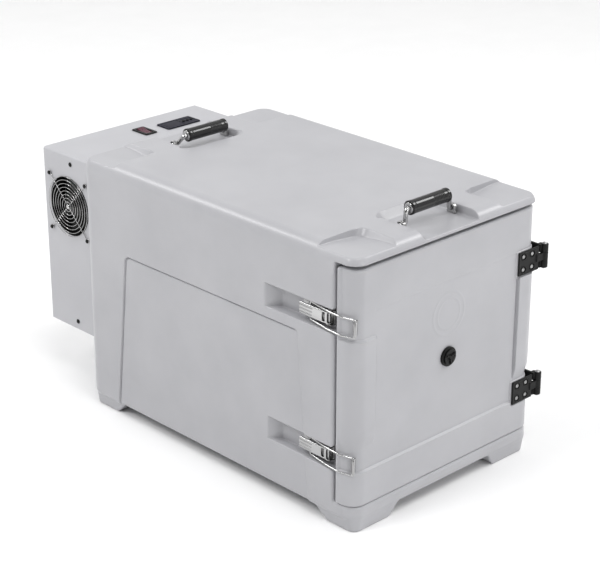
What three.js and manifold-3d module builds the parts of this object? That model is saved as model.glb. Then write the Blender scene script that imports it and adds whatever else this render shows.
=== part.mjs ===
// Front-loading refrigerated food carrier for gastronorm pans.
// Units are millimetres, +Z is up, the door faces -Y and the cooling unit is on the +Y end.
import * as THREE from "three";
import { mergeVertices } from "three/addons/utils/BufferGeometryUtils.js";
import Module from "manifold-3d";

const wasm = await Module();
wasm.setup();

// ---- driving dimensions -------------------------------------------------
const WIDTH = 440;              // carcass, side to side
const DEPTH = 677;              // carcass, door face to rear face
const HEIGHT = 480;             // floor to top plateau
const FOOT_HEIGHT = 22;
const CORNER_RADIUS = 28;       // vertical corners of the carcass and door
const TOP_ROLL = 24;            // radius between the sides and the top
const WALL = 6;                 // rotomoulded skin
const LINER_WALL = 5;
const GAP = 0.4;                // between pieces that touch
const DOOR_THICKNESS = 43;
const DOOR_BOTTOM = 48;
const DOOR_TOP = 455;
const DOOR_PANEL_RECESS = 3;    // the door's main face lies this far behind its raised borders
const CARCASS_FRONT = 46;       // plane of the carcass face behind the door
const LIP_UNDERSIDE = 457;
const HARDWARE_LEVELS = { top: 360, bottom: 123 };
const ROOM_HALF_WIDTH = 168;    // food compartment
const ROOM_FLOOR = 66;
const ROOM_CEILING = 430;
const ROOM_BACK = 626;
const RUNNER = { tiers: 6, first: 40, pitch: 52, width: 12, height: 9 };
const UNIT_HALF_WIDTH = 183;    // cooling unit
const UNIT_BACK = 834;
const UNIT_BOTTOM = 108;
const UNIT_TOP = 447;
const SHEET = 1.5;
const FAN = { y: 763.5, z: 349, size: 120, depth: 32, holes: 105, bore: 112 };
const SCOOP = { halfWidth: 63.5, length: 112, depth: 14, slope: 5 };
const CORNER_POCKET = { inner: 118, length: 92, depth: 7 };
const HANDLE = { frontPivot: 57.5, rearPivot: 611, pivotZ: 475, halfSpan: 51, reach: 25, wire: 4, grip: 12 };
const LATCH = { pivot: [-208.5, 66], pin: [-211, 105], bar: [-214, 4], halfBail: 15.5, wire: 2 };
const HINGE = { x: 232, y: 1, radius: 7, halfHeight: 21, leafInner: 166 };
const VENT_HEIGHT = 247;

const half = WIDTH / 2;

// ---- materials ----------------------------------------------------------
function material(color, roughness, metalness = 0) {
  return new THREE.MeshStandardMaterial({ color, roughness, metalness });
}
const shellGrey = material(0xc6c6cb, 0.45);
const linerGrey = material(0xd4d4d6, 0.5);
const foamCream = material(0xe6dcb4, 0.9);
const paintedSteel = material(0xcfd0d8, 0.4, 0.2);
const chromeSteel = material(0xd8d8d8, 0.15, 1);
const brushedSteel = material(0xb9b8b4, 0.35, 1);
const blackPlastic = material(0x1b1b1d, 0.5);
const blackGloss = material(0x101012, 0.15);
const rubberBlack = material(0x222222, 0.8);
const copper = material(0xb87333, 0.35, 1);
const aluminium = material(0xc4c8cc, 0.4, 1);
const rockerRed = material(0x8a2f35, 0.3);
const displayNavy = material(0x1d2033, 0.15);

// ---- solids by boolean --------------------------------------------------
function toSolid(geometry) {
  const bare = geometry.clone();
  bare.deleteAttribute("normal");
  bare.deleteAttribute("uv");
  const merged = mergeVertices(bare, 1e-4);
  const mesh = new wasm.Mesh({
    numProp: 3,
    vertProperties: new Float32Array(merged.attributes.position.array),
    triVerts: new Uint32Array(merged.index.array),
  });
  return new wasm.Manifold(mesh);
}

function toGeometry(solid) {
  const mesh = solid.getMesh();
  const geometry = new THREE.BufferGeometry();
  geometry.setAttribute("position", new THREE.BufferAttribute(new Float32Array(mesh.vertProperties), 3));
  geometry.setIndex(new THREE.BufferAttribute(new Uint32Array(mesh.triVerts), 1));
  const flat = geometry.toNonIndexed();
  flat.computeVertexNormals();
  return flat;
}

function join(...solids) {
  return solids.reduce((whole, solid) => whole.add(solid));
}

function cut(solid, ...tools) {
  return tools.reduce((rest, tool) => rest.subtract(tool), solid);
}

// A box between two corners.
function box(x0, x1, y0, y1, z0, z1) {
  const geometry = new THREE.BoxGeometry(x1 - x0, y1 - y0, z1 - z0);
  geometry.translate((x0 + x1) / 2, (y0 + y1) / 2, (z0 + z1) / 2);
  return toSolid(geometry);
}

// A cylinder between a start and an end along one axis: "x", "y" or "z".
function rod(axis, centre, start, end, radius, sides = 24, endRadius = radius) {
  const geometry = new THREE.CylinderGeometry(endRadius, radius, end - start, sides);
  geometry.translate(0, (start + end) / 2, 0);
  if (axis === "x") {
    geometry.rotateZ(-Math.PI / 2);
    geometry.translate(0, centre[0], centre[1]);
  } else if (axis === "y") {
    geometry.translate(centre[0], 0, centre[1]);
  } else {
    geometry.rotateX(Math.PI / 2);
    geometry.translate(centre[0], centre[1], 0);
  }
  return toSolid(geometry);
}

// Corner points of a rectangle whose four corners have their own radii,
// in the order front left, front right, back right, back left.
function roundedOutline(x0, x1, y0, y1, radii, steps = 5) {
  const corners = [[x0, y0, 1, 1, 180], [x1, y0, -1, 1, 270], [x1, y1, -1, -1, 0], [x0, y1, 1, -1, 90]];
  const points = [];
  corners.forEach(([x, y, sx, sy, start], index) => {
    const r = Math.max(radii[index], 0.5);
    for (let step = 0; step <= steps; step += 1) {
      const angle = THREE.MathUtils.degToRad(start + (90 * step) / steps);
      points.push([x + sx * r + r * Math.cos(angle), y + sy * r + r * Math.sin(angle)]);
    }
  });
  return points;
}

// A closed solid through convex rings of equal point count, from the lowest ring up.
function loft(rings) {
  const count = rings[0].points.length;
  const position = [];
  const index = [];
  rings.forEach(({ z, points }) => points.forEach(([x, y]) => position.push(x, y, z)));
  for (let level = 0; level + 1 < rings.length; level += 1) {
    for (let i = 0; i < count; i += 1) {
      const a = level * count + i;
      const b = level * count + ((i + 1) % count);
      index.push(a, b, b + count, a, b + count, a + count);
    }
  }
  const top = (rings.length - 1) * count;
  for (let i = 1; i + 1 < count; i += 1) {
    index.push(0, i + 1, i, top, top + i, top + i + 1);
  }
  const geometry = new THREE.BufferGeometry();
  geometry.setAttribute("position", new THREE.Float32BufferAttribute(position, 3));
  geometry.setIndex(index);
  return toSolid(geometry);
}

// A block with rounded vertical corners, a bevelled bottom and a rolled top.
function rolledBlock(x0, x1, y0, y1, z0, z1, radii, roll, bevel, rollSteps = 5) {
  const ring = (z, inset) => ({
    z,
    points: roundedOutline(x0 + inset, x1 - inset, y0 + inset, y1 - inset, radii.map((r) => r - inset)),
  });
  const rings = [ring(z0, bevel), ring(z0 + bevel, 0)];
  for (let step = 0; step <= rollSteps; step += 1) {
    const angle = (Math.PI / 2) * (step / rollSteps);
    rings.push(ring(z1 - roll + roll * Math.sin(angle), roll * (1 - Math.cos(angle))));
  }
  return loft(rings);
}

// A round wire along a path of points with rounded bends.
function wire(points, radius, sides = 8, bend = 6) {
  const path = new THREE.CurvePath();
  const nodes = points.map((p) => new THREE.Vector3(...p));
  let from = nodes[0];
  for (let i = 1; i + 1 < nodes.length; i += 1) {
    const corner = nodes[i];
    const before = nodes[i - 1].clone().sub(corner);
    const after = nodes[i + 1].clone().sub(corner);
    const reach = Math.min(bend, 0.45 * before.length(), 0.45 * after.length());
    const back = before.normalize().multiplyScalar(reach).add(corner);
    const ahead = after.normalize().multiplyScalar(reach).add(corner);
    path.add(new THREE.LineCurve3(from, back));
    path.add(new THREE.QuadraticBezierCurve3(back, corner, ahead));
    from = ahead;
  }
  path.add(new THREE.LineCurve3(from, nodes[nodes.length - 1]));
  const section = new THREE.Shape();
  for (let side = 0; side < sides; side += 1) {
    const angle = (2 * Math.PI * side) / sides;
    const x = radius * Math.cos(angle);
    const y = radius * Math.sin(angle);
    if (side === 0) section.moveTo(x, y);
    else section.lineTo(x, y);
  }
  const steps = 11 * (nodes.length - 1);
  return toSolid(new THREE.ExtrudeGeometry(section, { steps, extrudePath: path, bevelEnabled: false }));
}

// ---- scene graph --------------------------------------------------------
const group = new THREE.Group();
const model = new THREE.Group();
group.add(model);

function piece(name, solid, look) {
  const mesh = new THREE.Mesh(toGeometry(solid), look);
  mesh.name = name;
  model.add(mesh);
}

// ---- outer shell --------------------------------------------------------
// The carcass form, drawn inwards by inset so that one function gives the skin and the hollow in it.
function carcassForm(inset) {
  const r = CORNER_RADIUS - inset;
  const block = rolledBlock(
    -half + inset, half - inset, inset, DEPTH - inset,
    FOOT_HEIGHT + inset, HEIGHT - inset, [r, r, r, r], TOP_ROLL - inset, 6,
  );
  const doorSpace = box(
    -half - 9, half + 9, -9, CARCASS_FRONT + inset, DOOR_BOTTOM - 2 - inset, LIP_UNDERSIDE + inset,
  );
  return cut(block, doorSpace, ...topRecesses(inset), ...sidePockets(inset));
}

// Handle scoops at both ends and the four corner pockets that take another carrier's feet.
function topRecesses(inset) {
  const recesses = [];
  const scoopFloor = HEIGHT - SCOOP.depth - inset;
  const pocketFloor = HEIGHT - CORNER_POCKET.depth - inset;
  const above = HEIGHT + 9;
  for (const end of [0, DEPTH]) {
    const inward = end === 0 ? 1 : -1;
    const span = (length, grow) => {
      const a = end - inward * 30;
      const b = end + inward * (length + grow);
      return a < b ? [a, b] : [b, a];
    };
    const scoop = (grow, z) => {
      const [y0, y1] = span(SCOOP.length, grow);
      const w = SCOOP.halfWidth + grow;
      return { z, points: roundedOutline(-w, w, y0, y1, [16, 16, 16, 16]) };
    };
    const flare = inset + SCOOP.slope;
    recesses.push(loft([scoop(inset, scoopFloor), scoop(flare, HEIGHT - 1), scoop(flare + 3, above)]));
    for (const side of [-1, 1]) {
      const ring = (grow, z) => {
        const [y0, y1] = span(CORNER_POCKET.length - 8, grow);
        const inner = CORNER_POCKET.inner + 8 - grow;
        const xs = side < 0 ? [-half - 30, -inner] : [inner, half + 30];
        return { z, points: roundedOutline(xs[0], xs[1], y0, y1, [14, 14, 14, 14]) };
      };
      recesses.push(loft([ring(inset, pocketFloor), ring(inset + 7, HEIGHT - 1), ring(inset + 11, above)]));
    }
  }
  return recesses;
}

// The two latch recesses in the left side, each with a ramp at its rear end.
function sidePockets(inset) {
  return Object.values(HARDWARE_LEVELS).map((level) => {
    const halfHeight = 20 + inset;
    const floor = 20 + inset;
    const profile = [
      [-half - 9, -20], [-half + floor, -20], [-half + floor, 180 + inset],
      [-half, 202 + inset], [-half - 9, 202 + inset],
    ];
    const shape = new THREE.Shape(profile.map(([x, y]) => new THREE.Vector2(x, y)));
    const geometry = new THREE.ExtrudeGeometry(shape, { depth: 2 * halfHeight, bevelEnabled: false });
    geometry.translate(0, 0, level - halfHeight);
    return toSolid(geometry);
  });
}

// A moulded foot: nearly upright on its outer sides, with long tapers on the two inner ones.
const FOOT_RINGS = [
  { z: 0, outer: 11, inner: 92, near: 4, far: 69 },
  { z: 3, outer: 9.5, inner: 95, near: 2.5, far: 72 },
  { z: FOOT_HEIGHT, outer: 6, inner: 108, near: 1.5, far: 92 },
  { z: FOOT_HEIGHT + 8, outer: 5, inner: 113, near: 1, far: 98 },
];
function foot(xSide, yEnd) {
  const rings = FOOT_RINGS.map(({ z, outer, inner, near, far }) => {
    const xs = xSide < 0 ? [outer - half, inner - half] : [half - inner, half - outer];
    const ys = yEnd === 0 ? [near, far] : [DEPTH - far, DEPTH - near];
    return { z, points: roundedOutline(xs[0], xs[1], ys[0], ys[1], [18, 18, 18, 18], 4) };
  });
  return loft(rings);
}

const RIM_HALF_WIDTH = 190;
const RIM_BOTTOM = 52;
const RIM_TOP = 452;

function shellWithOpening() {
  const frontOpening = box(
    -RIM_HALF_WIDTH, RIM_HALF_WIDTH, CARCASS_FRONT - 1, CARCASS_FRONT + WALL + 1, RIM_BOTTOM, RIM_TOP,
  );
  const feet = [-1, 1].flatMap((side) => [0, 1].map((end) => foot(side, end)));
  const inside = carcassForm(WALL);
  const shell = cut(carcassForm(0), inside, frontOpening);
  return join(shell, ...feet.map((solid) => cut(solid, inside)));
}
piece("outer_shell", shellWithOpening(), shellGrey);

// ---- food compartment liner with pan runners ----------------------------
function linerForm(grow) {
  const w = ROOM_HALF_WIDTH + LINER_WALL + grow;
  const r = 18;
  const ring = (y, inset) => ({
    z: y,
    points: roundedOutline(
      -w + inset, w - inset, ROOM_FLOOR - LINER_WALL - grow + inset, ROOM_CEILING + LINER_WALL + grow - inset,
      [r, r, r, r],
    ),
  });
  const back = ROOM_BACK + LINER_WALL + grow;
  return stand(loft([ring(CARCASS_FRONT - grow, 0), ring(back - 12, 0), ring(back, 10)]));
}

// Turns a solid that was lofted along Z so that it runs along +Y, with its own Y becoming Z.
function stand(solid) {
  return solid.rotate([90, 0, 0]).mirror([0, 1, 0]);
}

function linerRim(grow) {
  return box(
    -RIM_HALF_WIDTH + GAP - grow, RIM_HALF_WIDTH - GAP + grow,
    CARCASS_FRONT - grow, CARCASS_FRONT + WALL - 0.5 + grow,
    RIM_BOTTOM + GAP - grow, RIM_TOP - GAP + grow,
  );
}

function liner() {
  const room = (() => {
    const w = ROOM_HALF_WIDTH;
    const ring = (y, inset) => ({
      z: y,
      points: roundedOutline(-w + inset, w - inset, ROOM_FLOOR + inset, ROOM_CEILING - inset, [14, 14, 14, 14]),
    });
    return stand(loft([ring(CARCASS_FRONT - 1, 0), ring(ROOM_BACK - 10, 0), ring(ROOM_BACK, 8)]));
  })();
  const runners = [];
  for (let tier = 0; tier < RUNNER.tiers; tier += 1) {
    const z = ROOM_FLOOR + RUNNER.first + tier * RUNNER.pitch;
    for (const side of [-1, 1]) {
      const wall = side * (ROOM_HALF_WIDTH + 1);
      const edge = side * (ROOM_HALF_WIDTH - RUNNER.width);
      runners.push(box(Math.min(wall, edge), Math.max(wall, edge), 72, 590, z, z + RUNNER.height));
    }
  }
  return join(cut(join(linerForm(0), linerRim(0)), room), ...runners);
}
piece("inner_liner", liner(), linerGrey);

function carcassFoam() {
  const front = box(-half, half, -9, CARCASS_FRONT + WALL + GAP, 0, HEIGHT);
  return cut(carcassForm(WALL + GAP), linerForm(GAP), linerRim(GAP), front);
}
piece("insulation_foam", carcassFoam(), foamCream);

// ---- fans, coils and slots used in two places ---------------------------
// A square fan frame with a round bore, a hub plate at its low end and three struts, its axis along Z.
function fanFrame(size, bore, depth, hub) {
  const body = box(-size / 2, size / 2, -size / 2, size / 2, 0, depth);
  const bored = cut(body, rod("z", [0, 0], -1, depth + 1, bore / 2, 36));
  const plate = rod("z", [0, 0], 0, 3, hub, 24);
  const struts = [0, 120, 240].map((turn) => box(-2, 2, hub - 3, bore / 2 + 1, 0, 3).rotate([0, 0, turn]));
  return join(bored, plate, ...struts);
}

// A hub with raked blades that spins about Z.
function rotor(radius, depth, hub, blades) {
  const core = rod("z", [0, 0], 0, depth, hub, 24);
  const chord = depth * 0.8;
  const vanes = [];
  for (let i = 0; i < blades; i += 1) {
    const vane = box(-chord / 2, chord / 2, hub - 3, radius, -0.9, 0.9).rotate([0, 32, 0]);
    vanes.push(vane.translate([0, 0, depth / 2]).rotate([0, 0, (360 * i) / blades]));
  }
  return join(core, ...vanes);
}

// A coil block whose fins are parted by grooves from both faces, leaving a core plate that holds them.
function finnedCoil(length, height, depth, fins) {
  const step = length / fins;
  const grooves = [];
  for (let i = 0; i < fins; i += 1) {
    const x = (i + 0.3) * step;
    grooves.push(box(x, x + step * 0.4, -1, depth * 0.4, 6, height - 6));
    grooves.push(box(x, x + step * 0.4, depth * 0.6, depth + 1, 6, height - 6));
  }
  return cut(box(0, length, 0, depth, 0, height), ...grooves);
}

// Cutting tools for a row of level slots.
function slots(x0, x1, y0, y1, z0, z1, pitch, height) {
  const tools = [];
  for (let z = z0; z + height <= z1; z += pitch) {
    tools.push(box(x0, x1, y0, y1, z, z + height));
  }
  return tools;
}

// ---- evaporator behind the rear grille of the compartment ---------------
const GRILLE = { y: 598, thickness: 2 };
const EVAP_FAN = { z: 340, size: 92, bore: 84, depth: 20 };

function evaporatorGrille() {
  const plate = box(
    4 - ROOM_HALF_WIDTH, ROOM_HALF_WIDTH - 4, GRILLE.y, GRILLE.y + GRILLE.thickness,
    ROOM_FLOOR + 8, ROOM_CEILING - 8,
  );
  const fanHole = rod("y", [0, EVAP_FAN.z], GRILLE.y - 1, GRILLE.y + 3, EVAP_FAN.bore / 2, 36);
  return cut(plate, fanHole, ...slots(-110, 110, GRILLE.y - 1, GRILLE.y + 3, 100, 250, 22, 8));
}
piece("evaporator_grille", evaporatorGrille(), brushedSteel);
piece("evaporator_coil", finnedCoil(240, 150, 20, 16).translate([-120, GRILLE.y + 4, 96]), aluminium);

const evapFrameBack = GRILLE.y + GRILLE.thickness + GAP + EVAP_FAN.depth;
const evapFrame = fanFrame(EVAP_FAN.size, EVAP_FAN.bore, EVAP_FAN.depth, 18).rotate([90, 0, 0]);
piece("evap_fan_frame", evapFrame.translate([0, evapFrameBack, EVAP_FAN.z]), blackPlastic);
const evapRotor = rotor(EVAP_FAN.bore / 2 - 2, 13, 16, 7).rotate([90, 0, 0]);
piece("evap_fan_rotor", evapRotor.translate([0, evapFrameBack - 4, EVAP_FAN.z]), blackPlastic);

// ---- cooling unit: sheet metal ------------------------------------------
const UNIT_FRONT = DEPTH + GAP;
const INNER_HALF = UNIT_HALF_WIDTH - SHEET - GAP;
const SCREW_HOLE = 2.5;
const SWITCH = { x: 4, y: 772, halfWidth: 14, halfLength: 22, holeX: 10.5, holeY: 18.5 };
const PANEL = { x0: 42, x1: 121, y0: 747, y1: 785, rim: 3 };
const INLET = { x: 110, z: 165, halfWidth: 16, halfHeight: 11 };
const COVER_SCREWS = { y: 754, levels: [UNIT_BOTTOM + 16, UNIT_TOP - 16] };

function fanCorners() {
  const s = FAN.holes / 2;
  return [[s, s], [-s, s], [-s, -s], [s, -s]].map(([dy, dz]) => [FAN.y + dy, FAN.z + dz]);
}

// One bent sheet makes the left side, the top and the right side.
function unitCover() {
  const sheetForm = (y, inset) => ({
    z: y,
    points: roundedOutline(
      inset - UNIT_HALF_WIDTH, UNIT_HALF_WIDTH - inset, UNIT_BOTTOM - 20, UNIT_TOP - inset,
      [1, 1, 5 - inset, 5 - inset],
    ),
  });
  const outside = stand(loft([sheetForm(UNIT_FRONT, 0), sheetForm(UNIT_BACK, 0)]));
  const inside = stand(loft([sheetForm(UNIT_FRONT - 1, SHEET), sheetForm(UNIT_BACK + 1, SHEET)]));
  const below = box(-half, half, UNIT_FRONT - 1, UNIT_BACK + 1, 0, UNIT_BOTTOM);
  const left = [-half, 5 - UNIT_HALF_WIDTH];
  const round = (centre, radius, sides) => rod("x", centre, left[0], left[1], radius, sides);
  const { x, y, holeX, holeY } = SWITCH;
  return cut(
    outside, inside, below,
    round([FAN.y, FAN.z], FAN.bore / 2, 40),
    ...fanCorners().map((centre) => round(centre, SCREW_HOLE, 12)),
    ...COVER_SCREWS.levels.map((z) => round([COVER_SCREWS.y, z], SCREW_HOLE, 12)),
    box(x - holeX, x + holeX, y - holeY, y + holeY, UNIT_TOP - 9, UNIT_TOP + 9),
    box(
      PANEL.x0 + PANEL.rim, PANEL.x1 - PANEL.rim, PANEL.y0 + PANEL.rim, PANEL.y1 - PANEL.rim,
      UNIT_TOP - 9, UNIT_TOP + 9,
    ),
    ...slots(UNIT_HALF_WIDTH - 5, half, 715, 800, 190, 410, 18, 6),
  );
}
piece("unit_cover", unitCover(), paintedSteel);

function unitBasePlate() {
  const back = UNIT_BACK - SHEET - 2 * GAP;
  const plate = box(-INNER_HALF, INNER_HALF, UNIT_FRONT, back, UNIT_BOTTOM, UNIT_BOTTOM + 2);
  const flange = (x0, x1) => box(x0, x1, UNIT_FRONT, back, UNIT_BOTTOM, UNIT_BOTTOM + 26);
  const screwHole = rod("x", [COVER_SCREWS.y, COVER_SCREWS.levels[0]], -half, 0, SCREW_HOLE, 12);
  const tray = join(plate, flange(-INNER_HALF, 1.5 - INNER_HALF), flange(INNER_HALF - 1.5, INNER_HALF));
  return cut(tray, screwHole);
}
piece("unit_base_plate", unitBasePlate(), paintedSteel);

function unitBackPanel() {
  const y1 = UNIT_BACK - GAP;
  const y0 = y1 - SHEET;
  const plate = box(-INNER_HALF, INNER_HALF, y0, y1, UNIT_BOTTOM + GAP, UNIT_TOP - SHEET - 2 * GAP - 3);
  const { x, z, halfWidth, halfHeight } = INLET;
  const inletHole = box(x - halfWidth, x + halfWidth, y0 - 1, y1 + 1, z - halfHeight, z + halfHeight);
  return cut(plate, inletHole, ...slots(-140, 60, y0 - 1, y1 + 1, 180, 400, 16, 5));
}
piece("unit_back_panel", unitBackPanel(), paintedSteel);

function powerInlet() {
  const { x, z, halfWidth, halfHeight } = INLET;
  const w = halfWidth - GAP;
  const h = halfHeight - GAP;
  const flange = box(
    x - halfWidth - 8, x + halfWidth + 8, UNIT_BACK, UNIT_BACK + 3, z - halfHeight - 3, z + halfHeight + 3,
  );
  const body = box(x - w, x + w, UNIT_BACK - 20, UNIT_BACK + 1, z - h, z + h);
  const socket = box(x - w + 3, x + w - 3, UNIT_BACK - 15, UNIT_BACK + 4, z - h + 2, z + h - 2);
  const pins = [-7, 0, 7].map((dx) => box(x + dx - 1, x + dx + 1, UNIT_BACK - 16, UNIT_BACK - 3, z - 3, z + 3));
  return join(cut(join(flange, body), socket), ...pins);
}
piece("power_inlet", powerInlet(), blackPlastic);

// ---- cooling unit: condenser fan and its guard --------------------------
// Turns a solid built along +Z so that it points out of the unit's left side.
function faceLeft(solid, x) {
  return solid.rotate([0, -90, 0]).translate([x, FAN.y, FAN.z]);
}

const fanBack = FAN.depth - UNIT_HALF_WIDTH + SHEET + GAP;
function condenserFanFrame() {
  const s = FAN.holes / 2;
  const frame = fanFrame(FAN.size, FAN.bore, FAN.depth, 24);
  const corners = [[s, s], [-s, s], [-s, -s], [s, -s]];
  const holes = corners.map((centre) => rod("z", centre, -1, FAN.depth + 1, SCREW_HOLE, 12));
  return faceLeft(cut(frame, ...holes), fanBack);
}
piece("fan_frame", condenserFanFrame(), blackPlastic);
piece("fan_rotor", faceLeft(rotor(FAN.bore / 2 - 2, 22, 22, 7), fanBack - 4), blackPlastic);

// Concentric wire rings on four spokes, each spoke ending in a screw eye.
function fanGuard() {
  const gauge = 1.2;
  const rings = [];
  for (let ring = 0; ring < 7; ring += 1) {
    const torus = new THREE.TorusGeometry(15 + 7 * ring, gauge, 5, 26);
    torus.translate(0, 0, 2 * gauge + 0.6);
    rings.push(toSolid(torus));
  }
  const centre = rod("z", [0, 0], gauge, 2 * gauge + 2, 9, 20);
  const eyeRadius = FAN.holes / Math.SQRT2;
  const arms = [45, 135, 225, 315].map((turn) => {
    const spoke = rod("x", [0, gauge], 0, eyeRadius - 3, gauge, 8);
    const washer = rod("z", [eyeRadius, 0], 0, 2 * gauge, 4.6, 16);
    const eye = cut(washer, rod("z", [eyeRadius, 0], -1, 4, SCREW_HOLE, 12));
    return join(spoke, eye).rotate([0, 0, turn]);
  });
  return faceLeft(join(centre, ...rings, ...arms), -UNIT_HALF_WIDTH - GAP);
}
piece("fan_guard", fanGuard(), chromeSteel);

// A dome-head screw that points into the left side, its head resting at headPlane.
function sideScrew(centre, headPlane, length, headRadius) {
  const shank = rod("x", centre, headPlane - 0.5, headPlane + length, SCREW_HOLE - 0.5, 10);
  const head = rod("x", centre, headPlane - 2.4, headPlane, headRadius * 0.7, 16, headRadius);
  return join(shank, head);
}
fanCorners().forEach((centre, index) => {
  piece(`fan_screw_${index + 1}`, sideScrew(centre, -UNIT_HALF_WIDTH - 3.2, 12, 4), blackPlastic);
});
COVER_SCREWS.levels.forEach((z, index) => {
  const place = [COVER_SCREWS.y, z];
  piece(`cover_screw_${index + 1}`, sideScrew(place, -UNIT_HALF_WIDTH - GAP, 8, 4.5), brushedSteel);
});

// ---- cooling unit: machinery --------------------------------------------
const COIL = { x: -121, depth: 22, y: 698, z: 262, length: 130, height: 170 };
const coil = finnedCoil(COIL.length, COIL.height, COIL.depth, 14).rotate([0, 0, 90]);
piece("condenser_coil", coil.translate([COIL.x, COIL.y, COIL.z]), aluminium);

const COMPRESSOR = { x: 40, y: 752, z: UNIT_BOTTOM + 2 + GAP, radius: 55, height: 148 };
function compressor() {
  const { radius: r, height: h } = COMPRESSOR;
  const profile = [
    [0, 0], [r - 12, 0], [r - 4, 4], [r, 14], [r, 62], [r + 3, 64], [r + 3, 69], [r, 71],
    [r, h - 30], [r - 6, h - 14], [r - 22, h - 3], [0, h],
  ];
  const geometry = new THREE.LatheGeometry(profile.map(([x, y]) => new THREE.Vector2(x, y)), 32);
  geometry.rotateX(Math.PI / 2);
  geometry.translate(COMPRESSOR.x, COMPRESSOR.y, COMPRESSOR.z);
  return toSolid(geometry);
}
piece("compressor", compressor(), blackPlastic);

const lineStart = COMPRESSOR.z + COMPRESSOR.height + GAP;
const linePath = [
  [COMPRESSOR.x, COMPRESSOR.y, lineStart], [COMPRESSOR.x, COMPRESSOR.y, lineStart + 40],
  [-60, COMPRESSOR.y, lineStart + 40], [-60, 738, 352], [COIL.x + GAP, 738, 352],
];
piece("refrigerant_line", wire(linePath, 4, 8, 14), copper);
piece("controller_box", box(25, 140, 735, 800, UNIT_TOP - 52, UNIT_TOP - 10), blackPlastic);

// ---- cooling unit: controls ---------------------------------------------
const PANEL_FACE = UNIT_TOP + 2.6;
const DISPLAY = { x0: 48, x1: 86, y0: 752, y1: 780 };
const BUTTON = { xs: [94, 103, 112], y: 766, radius: 3 };

function controlBezel() {
  const rim = PANEL.rim + GAP;
  const flange = box(PANEL.x0, PANEL.x1, PANEL.y0, PANEL.y1, UNIT_TOP + GAP, PANEL_FACE);
  const body = box(PANEL.x0 + rim, PANEL.x1 - rim, PANEL.y0 + rim, PANEL.y1 - rim, UNIT_TOP - 8, UNIT_TOP + 1);
  const window = box(DISPLAY.x0, DISPLAY.x1, DISPLAY.y0, DISPLAY.y1, PANEL_FACE - 1.4, PANEL_FACE + 1);
  const well = (x) => rod("z", [x, BUTTON.y], UNIT_TOP - 5, PANEL_FACE + 1, BUTTON.radius + 0.5, 16);
  const wells = BUTTON.xs.map(well);
  return cut(join(flange, body), window, ...wells);
}
piece("control_bezel", controlBezel(), displayNavy);
piece("display_window", box(
  DISPLAY.x0 + GAP, DISPLAY.x1 - GAP, DISPLAY.y0 + GAP, DISPLAY.y1 - GAP, PANEL_FACE - 1, PANEL_FACE - 0.2,
), blackGloss);
BUTTON.xs.forEach((x, index) => {
  const key = rod("z", [x, BUTTON.y], UNIT_TOP - 2, PANEL_FACE + 1.4, BUTTON.radius, 16);
  piece(`button_${index + 1}`, key, blackPlastic);
});

const ROCKER = { halfWidth: 7.6, halfLength: 13.6, pivotZ: UNIT_TOP - 1, tilt: 8 };
function switchBezel() {
  const { x, y, halfWidth: w, halfLength: l, holeX, holeY } = SWITCH;
  const flange = box(x - w, x + w, y - l, y + l, UNIT_TOP + GAP, UNIT_TOP + 2.4);
  const hx = holeX - GAP;
  const hy = holeY - GAP;
  const body = box(x - hx, x + hx, y - hy, y + hy, UNIT_TOP - 24, UNIT_TOP + 1);
  const well = box(x - 8.2, x + 8.2, y - 15.4, y + 15.4, UNIT_TOP - 12, UNIT_TOP + 4);
  return cut(join(flange, body), well);
}
piece("switch_bezel", switchBezel(), blackPlastic);

function rocker() {
  const { halfWidth: w, halfLength: l } = ROCKER;
  const profile = [[-l, 4.5], [-l, -1], [0, -7], [l, -1], [l, 4.5], [0, 2.8]];
  const shape = new THREE.Shape(profile.map(([y, z]) => new THREE.Vector2(y, z)));
  const geometry = new THREE.ExtrudeGeometry(shape, { depth: 2 * w, bevelEnabled: false });
  geometry.translate(0, 0, -w);
  geometry.rotateY(Math.PI / 2);
  geometry.rotateX(Math.PI / 2);
  return toSolid(geometry).rotate([ROCKER.tilt, 0, 0]).translate([SWITCH.x, SWITCH.y, ROCKER.pivotZ]);
}
piece("switch_rocker", rocker(), rockerRed);

// ---- door ---------------------------------------------------------------
const PANEL_EDGE = 168;         // half-width of the recessed main panel of the door
const BAND_HALF = 22;           // half-height of the recess at each hardware level
const VENT_RADIUS = 10.2;

function doorForm(inset, frontInset = inset) {
  const r = CORNER_RADIUS - inset;
  const block = rolledBlock(
    inset - half, half - inset, frontInset, DOOR_THICKNESS + 14,
    DOOR_BOTTOM + inset, DOOR_TOP - inset, [r, r, 4, 4], 8 - inset / 2, 4, 4,
  );
  return cut(block, box(-half, half, DOOR_THICKNESS, DOOR_THICKNESS + 20, 0, HEIGHT));
}

function ventBore(start, end) {
  return rod("y", [0, VENT_HEIGHT], start, end, VENT_RADIUS, 24);
}

function doorShell() {
  const mainPanel = box(-PANEL_EDGE, PANEL_EDGE, -9, DOOR_PANEL_RECESS, 110, DOOR_TOP - 8);
  const bands = Object.values(HARDWARE_LEVELS).flatMap((level) => {
    const z0 = level - BAND_HALF;
    const z1 = level + BAND_HALF;
    const latchBand = box(-half - 1, -PANEL_EDGE, -1, DOOR_THICKNESS + 1, z0, z1);
    const hingeBand = box(PANEL_EDGE - 6, half + 1, -1, DOOR_THICKNESS + 1, z0, z1);
    return [cut(latchBand, doorForm(4)), cut(hingeBand, doorForm(3.4))];
  });
  const hollow = doorHollow(0);
  return cut(doorForm(0), hollow, mainPanel, ...bands, ventBore(-1, DOOR_THICKNESS + 1));
}

// The space behind the door's skin, open to the rear and drawn inwards by inset.
function doorHollow(inset) {
  const r = CORNER_RADIUS - 9 - inset;
  return rolledBlock(
    9 - half + inset, half - 9 - inset, 9 + inset, DOOR_THICKNESS + 20,
    DOOR_BOTTOM + 7 + inset, DOOR_TOP - 7 - inset,
    [r, r, 3, 3], 3, 2, 2,
  );
}
piece("door_shell", doorShell(), shellGrey);

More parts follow.
